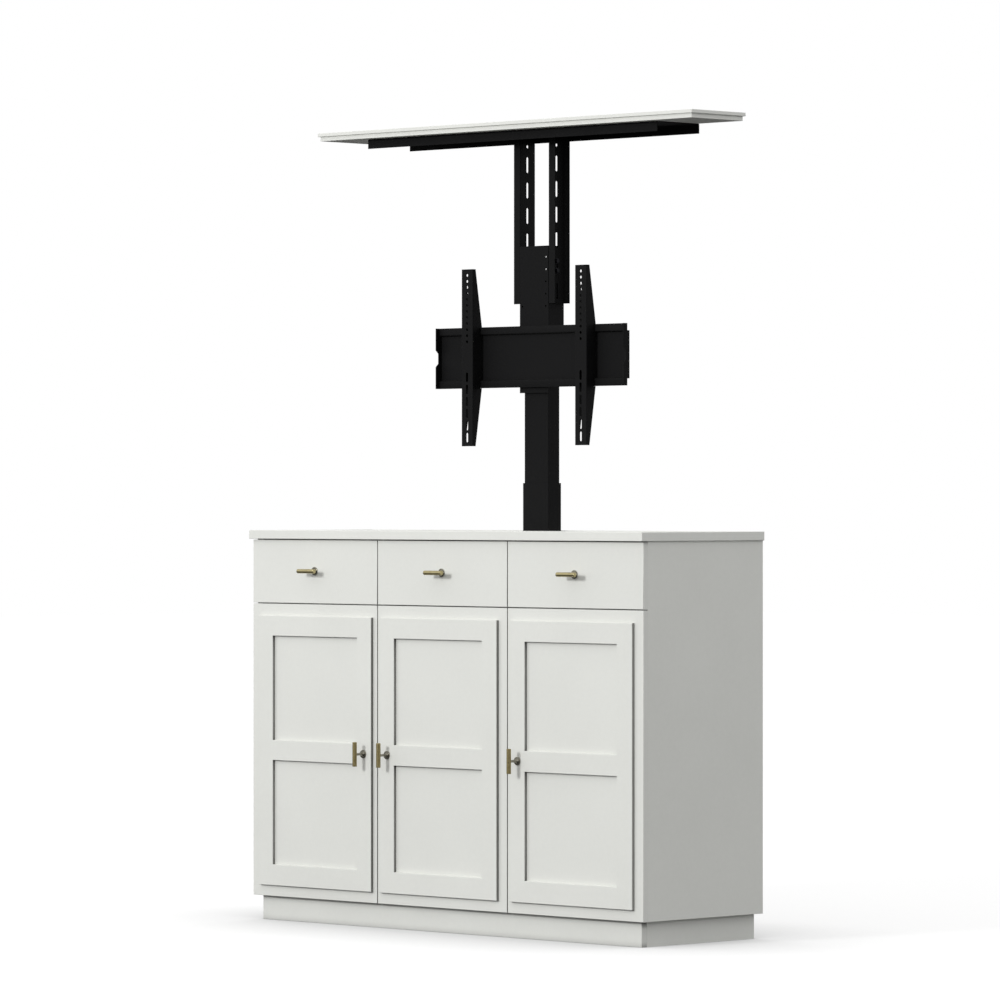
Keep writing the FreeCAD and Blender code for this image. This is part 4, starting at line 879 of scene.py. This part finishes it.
@dataclass
class Door:
    """One door: a flat board, an applied two-panel frame, a knob and two cup hinges."""

    shop: Workshop
    column: str
    ear_centre: float = 28.0 * MM
    ear_half: float = 26.0 * MM
    ear_screw_spread: float = 21.0 * MM
    screw_radius: float = 3.6 * MM
    screw_height: float = 1.4 * MM
    bumper_inset: float = 4.2 * MM
    bumper_rise: float = 36.0 * MM
    bumper_radius: float = 3.4 * MM
    bumper_height: float = 0.3 * MM
    bumper_rounding: float = 0.09 * MM

    @property
    def body(self) -> str:
        """The door's body."""
        return "door_" + self.column

    def build(self) -> None:
        """Builds the board, the frame's five members, the knob and the hinge cups."""
        self.shop.recut(self.body + "_panel", "lacquer", self.body, Slot.LACQUER)
        self.shop.dress(self.body + "_frame", "lacquer")
        Knob(self.shop, self.body + "_knob", self.body, Axis.Z).build()
        self.shop.dress(self.body + "_hinge_cups", "zinc")
        low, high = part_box(self.body + "_panel")
        cups_low, cups_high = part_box(self.body + "_hinge_cups")
        hinged_left = cups_low.x + cups_high.x < low.x + high.x
        self.cup_screws(low.x + self.ear_centre if hinged_left else high.x - self.ear_centre,
                        cups_low, cups_high)
        self.bumpers(high.x - self.bumper_inset if hinged_left else low.x + self.bumper_inset,
                     low, high)

    def cup_screws(self, x: float, low: Vector, high: Vector) -> None:
        """Adds the two screws in the ear of each hinge cup.

        Args:
            x: the place of the ears' middle.
            low: the lowest corner of the cups.
            high: the highest corner of the cups.
        """
        form = Form()
        for level in (low.z + self.ear_half, high.z - self.ear_half):
            for shift in (-self.ear_screw_spread, self.ear_screw_spread):
                form.screw(Vector((x, high.y, level + shift)), Axis.Y.vector, self.screw_radius,
                           self.screw_height)
        self.shop.piece(self.body + "_cup_screws", form, "zinc", self.body, Slot.ZINC)

    def bumpers(self, x: float, low: Vector, high: Vector) -> None:
        """Adds the felt dots that meet the board at the door's free side.

        Args:
            x: the place of the dots' middle.
            low: the lowest corner of the door's board.
            high: the highest corner of the door's board.
        """
        form = Form()
        for z in (low.z + self.bumper_rise, high.z - self.bumper_rise):
            form.rod(Vector((x, high.y, z)), Axis.Y.vector, self.bumper_height, self.bumper_radius,
                     self.bumper_rounding, steps=24)
        self.shop.piece(self.body + "_bumpers", form, "felt", self.body, Slot.PLASTIC)


@dataclass
class Drawer:
    """One drawer: a flat front, an open box and a knob."""

    shop: Workshop
    column: str
    wall: float = 12.0 * MM
    screw_spread: float = 90.0 * MM
    screw_radius: float = 4.6 * MM
    screw_height: float = 1.9 * MM

    @property
    def body(self) -> str:
        """The drawer's body."""
        return "drawer_" + self.column

    def build(self) -> None:
        """Builds the front, the box and the knob."""
        self.shop.recut(self.body + "_front", "lacquer", self.body, Slot.LACQUER)
        self.shop.dress(self.body + "_box", "melamine")
        Knob(self.shop, self.body + "_knob", self.body, Axis.X).build()
        self.front_screws()

    def front_screws(self) -> None:
        """Adds the two screws that hold the front, seen inside the box."""
        low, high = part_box(self.body + "_box")
        middle = (low + high) / 2.0
        form = Form()
        for x in (middle.x - self.screw_spread, middle.x + self.screw_spread):
            form.screw(Vector((x, low.y + self.wall, middle.z)), Axis.Y.vector, self.screw_radius,
                       self.screw_height)
        self.shop.piece(self.body + "_front_screws", form, "zinc", self.body, Slot.ZINC)


@dataclass
class Column:
    """The telescopic column with its foot, motor and control box."""

    shop: Workshop
    bracket_sheet: float = 3.0 * MM
    bracket_screws: tuple[float, float] = (58.0 * MM, 14.0 * MM)
    screw_radius: float = 4.0 * MM
    screw_height: float = 1.8 * MM
    cover_screw_inset: float = 9.0 * MM
    cover_screw_radius: float = 2.8 * MM
    cover_screw_height: float = 1.4 * MM
    lens_places: tuple[float, float] = (60.0 * MM, 70.0 * MM)
    lens_radius: float = 2.2 * MM
    lens_height: float = 1.1 * MM
    lens_step: float = math.radians(15.0)
    lens_steps: int = 6
    bell_radius: float = 21.0 * MM
    bell_screws: int = 3
    bell_screw_circle: float = 14.7 * MM
    bell_screw_radius: float = 2.73 * MM
    bell_screw_height: float = 1.47 * MM
    BELL_FACE = 0.11
    BELL = ((0.0, 0.0), (1.0, 0.0), (1.0, 0.06), (0.95, BELL_FACE), (0.42, BELL_FACE),
            (0.38, 0.2), (0.0, 0.2))
    STAGES = (("outer_tube", "cabinet"), ("middle_tube", "lift_middle"),
              ("inner_tube", "lift_inner"))
    GLIDES = ("outer_glides", "middle_glides", "middle_nut_plate", "inner_nut_plate")

    def build(self) -> None:
        """Builds the tubes and dresses what drives them."""
        for node, body in self.STAGES:
            self.shop.recut(node, "powder_coat", body, Slot.STEEL)
        for node in self.GLIDES:
            self.shop.dress(node, "nylon")
        for node in ("lower_spindle", "upper_spindle"):
            self.shop.dress(node, "zinc")
        for node in ("column_foot", "column_bracket"):
            self.shop.dress(node, "powder_coat")
        self.shop.dress("lift_motor", "enamel")
        self.shop.dress("control_box", "moulding")
        self.wall_screws()
        self.box_trim()
        self.motor_bell()

    def wall_screws(self) -> None:
        """Adds the four screws of the bracket that ties the outer tube to the back."""
        low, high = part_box("column_bracket")
        middle = (low + high) / 2.0
        across, up = self.bracket_screws
        form = Form()
        for x in (middle.x - across, middle.x + across):
            for z in (middle.z - up, middle.z + up):
                form.screw(Vector((x, high.y - self.bracket_sheet, z)), -Axis.Y.vector,
                           self.screw_radius, self.screw_height)
        self.shop.piece("column_bracket_screws", form, "zinc", "cabinet", Slot.ZINC)

    def box_trim(self) -> None:
        """Adds the control box's cover screws and its two signal lenses."""
        low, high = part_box("control_box")
        inset = self.cover_screw_inset
        screws = Form()
        for x in (low.x + inset, high.x - inset):
            for y in (low.y + inset, high.y - inset):
                screws.screw(Vector((x, y, high.z)), Axis.Z.vector, self.cover_screw_radius,
                             self.cover_screw_height)
        self.shop.piece("control_box_screws", screws, "blackened", "cabinet", Slot.STEEL)
        middle = (low + high) / 2.0
        slope = [(self.lens_radius * math.cos(turn), self.lens_height * math.sin(turn))
                 for turn in (self.lens_step * step for step in range(self.lens_steps))]
        dome = [(0.0, 0.0)] + slope + [(0.0, self.lens_height)]
        lenses = Form()
        for place in self.lens_places:
            lenses.lathe(dome, Vector((middle.x + place, middle.y, high.z)), Axis.Z.vector,
                         steps=24)
        self.shop.piece("control_box_lenses", lenses, "lens", "cabinet", Slot.PLASTIC)

    def motor_bell(self) -> None:
        """Adds the motor's end bell with its boss and its screws."""
        low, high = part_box("lift_motor")
        radius = self.bell_radius
        middle = (low + high) / 2.0
        centre = Vector((high.x, middle.y, middle.z - self.screw_height / 2.0))
        profile = [(across * radius, up * radius) for across, up in self.BELL]
        bell = Form().lathe(profile, centre, Axis.X.vector, steps=40)
        self.shop.piece("motor_bell", bell, "enamel", "cabinet", Slot.ENAMEL)
        screws = Form()
        for index in range(self.bell_screws):
            turn = math.tau * index / self.bell_screws
            place = Vector((self.BELL_FACE * radius, self.bell_screw_circle * math.cos(turn),
                            self.bell_screw_circle * math.sin(turn)))
            screws.screw(centre + place, Axis.X.vector, self.bell_screw_radius,
                         self.bell_screw_height)
        self.shop.piece("motor_bell_screws", screws, "zinc", "cabinet", Slot.ZINC)


@dataclass
class Head:
    """What the column lifts: sleeve, television bracket, mast, tray and lid."""

    shop: Workshop
    plug_edge: float = 0.45 * MM
    STEEL = ("head_sleeve", "cross_rail", "arm_left", "arm_right", "mast_left", "mast_right",
             "lid_tray")

    def build(self) -> None:
        """Builds the steel pieces and the two boards of the lid."""
        for node in self.STEEL:
            self.shop.recut(node, "powder_coat", "lift_inner", Slot.STEEL)
        self.shop.recut("lid_plug", "satin_lacquer", "lift_inner", Slot.LID_UNDERSIDE,
                        self.plug_edge)
        self.shop.recut("lid_cover", "satin_lacquer", "lift_inner", Slot.LACQUER)
        self.shop.dress("lift_bolts", "blackened")


# ------------------------------------------------------------------ studio
@dataclass
class Studio:
    """A pale floor, a white surround, one large soft lamp from the front and the camera."""

    turn: float = math.radians(45.0)
    lens: float = 205.74
    sensor: float = 36.0
    eye: tuple[float, float, float] = (10.0643, -10.07185, 1.0675)
    floor_size: float = 60.0
    floor_tone: float = 0.1
    floor_seen_tone: float = 0.92
    floor_glow: float = 1.14
    floor_glow_share: float = 0.5
    # Reaches of the floor's painted contact shadow and of its thin painted shadow line at the
    # plinth's foot.
    painted_contact_shadow_reach: float = 0.5
    painted_edge_shadow_reach: float = 0.016
    sky: float = 0.95
    seen_sky: float = 1.0
    lamp_place: tuple[float, float, float] = (-0.7, -7.0, 2.9)
    lamp_aim: tuple[float, float, float] = (0.0, 0.0, 0.9)
    lamp_size: float = 1.1
    lamp_power: float = 232.0

    def build(self) -> None:
        """Sets up view, camera, world, lamp and floor."""
        scene = bpy.context.scene
        scene.view_settings.view_transform = "Standard"
        self.camera(scene)
        self.world(scene)
        self.floor()
        self.lamp(scene)

    def camera(self, scene: bpy.types.Scene) -> None:
        """Places the camera level, turned from the front towards the right.

        Args:
            scene: the scene whose camera it becomes.
        """
        data = bpy.data.cameras.new("camera")
        data.lens = self.lens
        data.sensor_width = self.sensor
        data.sensor_fit = "HORIZONTAL"
        data.clip_end = 100.0
        camera = bpy.data.objects.new("camera", data)
        camera.location = self.eye
        camera.rotation_euler = (math.pi / 2.0, 0.0, self.turn)
        scene.collection.objects.link(camera)
        scene.camera = camera

    def world(self, scene: bpy.types.Scene) -> None:
        """Lights evenly from above, and shows white to the camera and in reflections.

        Args:
            scene: the scene whose world it becomes.
        """
        world = bpy.data.worlds.new("surround")
        world.use_nodes = True
        nodes = Tree(world.node_tree)
        light = world.node_tree.nodes["Background"]
        white = nodes.add("Background")
        for background, strength in ((light, self.sky), (white, self.seen_sky)):
            nodes.fill(background, Color=(1.0, 1.0, 1.0, 1.0), Strength=strength)
        rays = nodes.add("LightPath").outputs
        mirrored = nodes.combine("Math", "MAXIMUM", rays["Is Glossy Ray"],
                                 rays["Is Transmission Ray"])["Value"]
        seen = nodes.combine("Math", "MAXIMUM", rays["Is Camera Ray"], mirrored)["Value"]
        nodes.mix_shaders(seen, light, white, "World Output")
        scene.world = world

    def floor(self) -> None:
        """Makes the floor: dull to the cabinet; to the camera a white glow with a painted contact
        shadow, over a share of real, shadowed light.
        """
        mesh = bmesh.new()
        bmesh.ops.create_grid(mesh, x_segments=1, y_segments=1, size=self.floor_size / 2.0)
        data = bpy.data.meshes.new("floor")
        mesh.to_mesh(data)
        mesh.free()
        floor = bpy.data.objects.new("floor", data)
        bpy.context.scene.collection.objects.link(floor)
        material, nodes, shader = blank_material("pale_floor")
        seen = nodes.add("LightPath").outputs["Is Camera Ray"]
        tone = nodes.remap(seen, To_Min=self.floor_tone, To_Max=self.floor_seen_tone)
        nodes.fill(shader, Base_Color=tone, Roughness=1.0, Specular_IOR_Level=0.0)
        # Painted shadow: ambient occlusion darkens the glow that the camera sees, a wide painted
        # contact shadow round the cabinet and a thin painted shadow line at the plinth's foot.
        painted_contact_shadow = nodes.add("AmbientOcclusion", samples=16, Distance=self.painted_contact_shadow_reach)
        edge = nodes.add("AmbientOcclusion", samples=16, Distance=self.painted_edge_shadow_reach,
                         Color=painted_contact_shadow.outputs["Color"])
        glow = nodes.add("Emission", Strength=self.floor_glow, Color=edge.outputs["Color"])
        glow_share = nodes.remap(seen, To_Max=self.floor_glow_share)
        nodes.mix_shaders(glow_share, shader, glow, "Material Output")
        data.materials.append(material)

    def lamp(self, scene: bpy.types.Scene) -> None:
        """Adds the square lamp, in front, above and a little to the left.

        Args:
            scene: the scene that it lights.
        """
        data = bpy.data.lights.new("soft_lamp", "AREA")
        data.shape = "SQUARE"
        data.size = self.lamp_size
        data.energy = self.lamp_power
        lamp = bpy.data.objects.new("soft_lamp", data)
        lamp.location = self.lamp_place
        way = Vector(self.lamp_aim) - Vector(self.lamp_place)
        lamp.rotation_euler = way.to_track_quat("-Z", "Y").to_euler()
        scene.collection.objects.link(lamp)


def main() -> None:
    """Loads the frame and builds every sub-assembly."""
    logging.basicConfig(level=logging.INFO, format="%(name)s %(message)s")
    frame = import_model()
    Studio().build()
    shop = Workshop(frame, Palette())
    Carcass(shop).build()
    for column in COLUMNS:
        Door(shop, column).build()
        Drawer(shop, column).build()
    Column(shop).build()
    Head(shop).build()


if __name__ == "__main__":
    main()
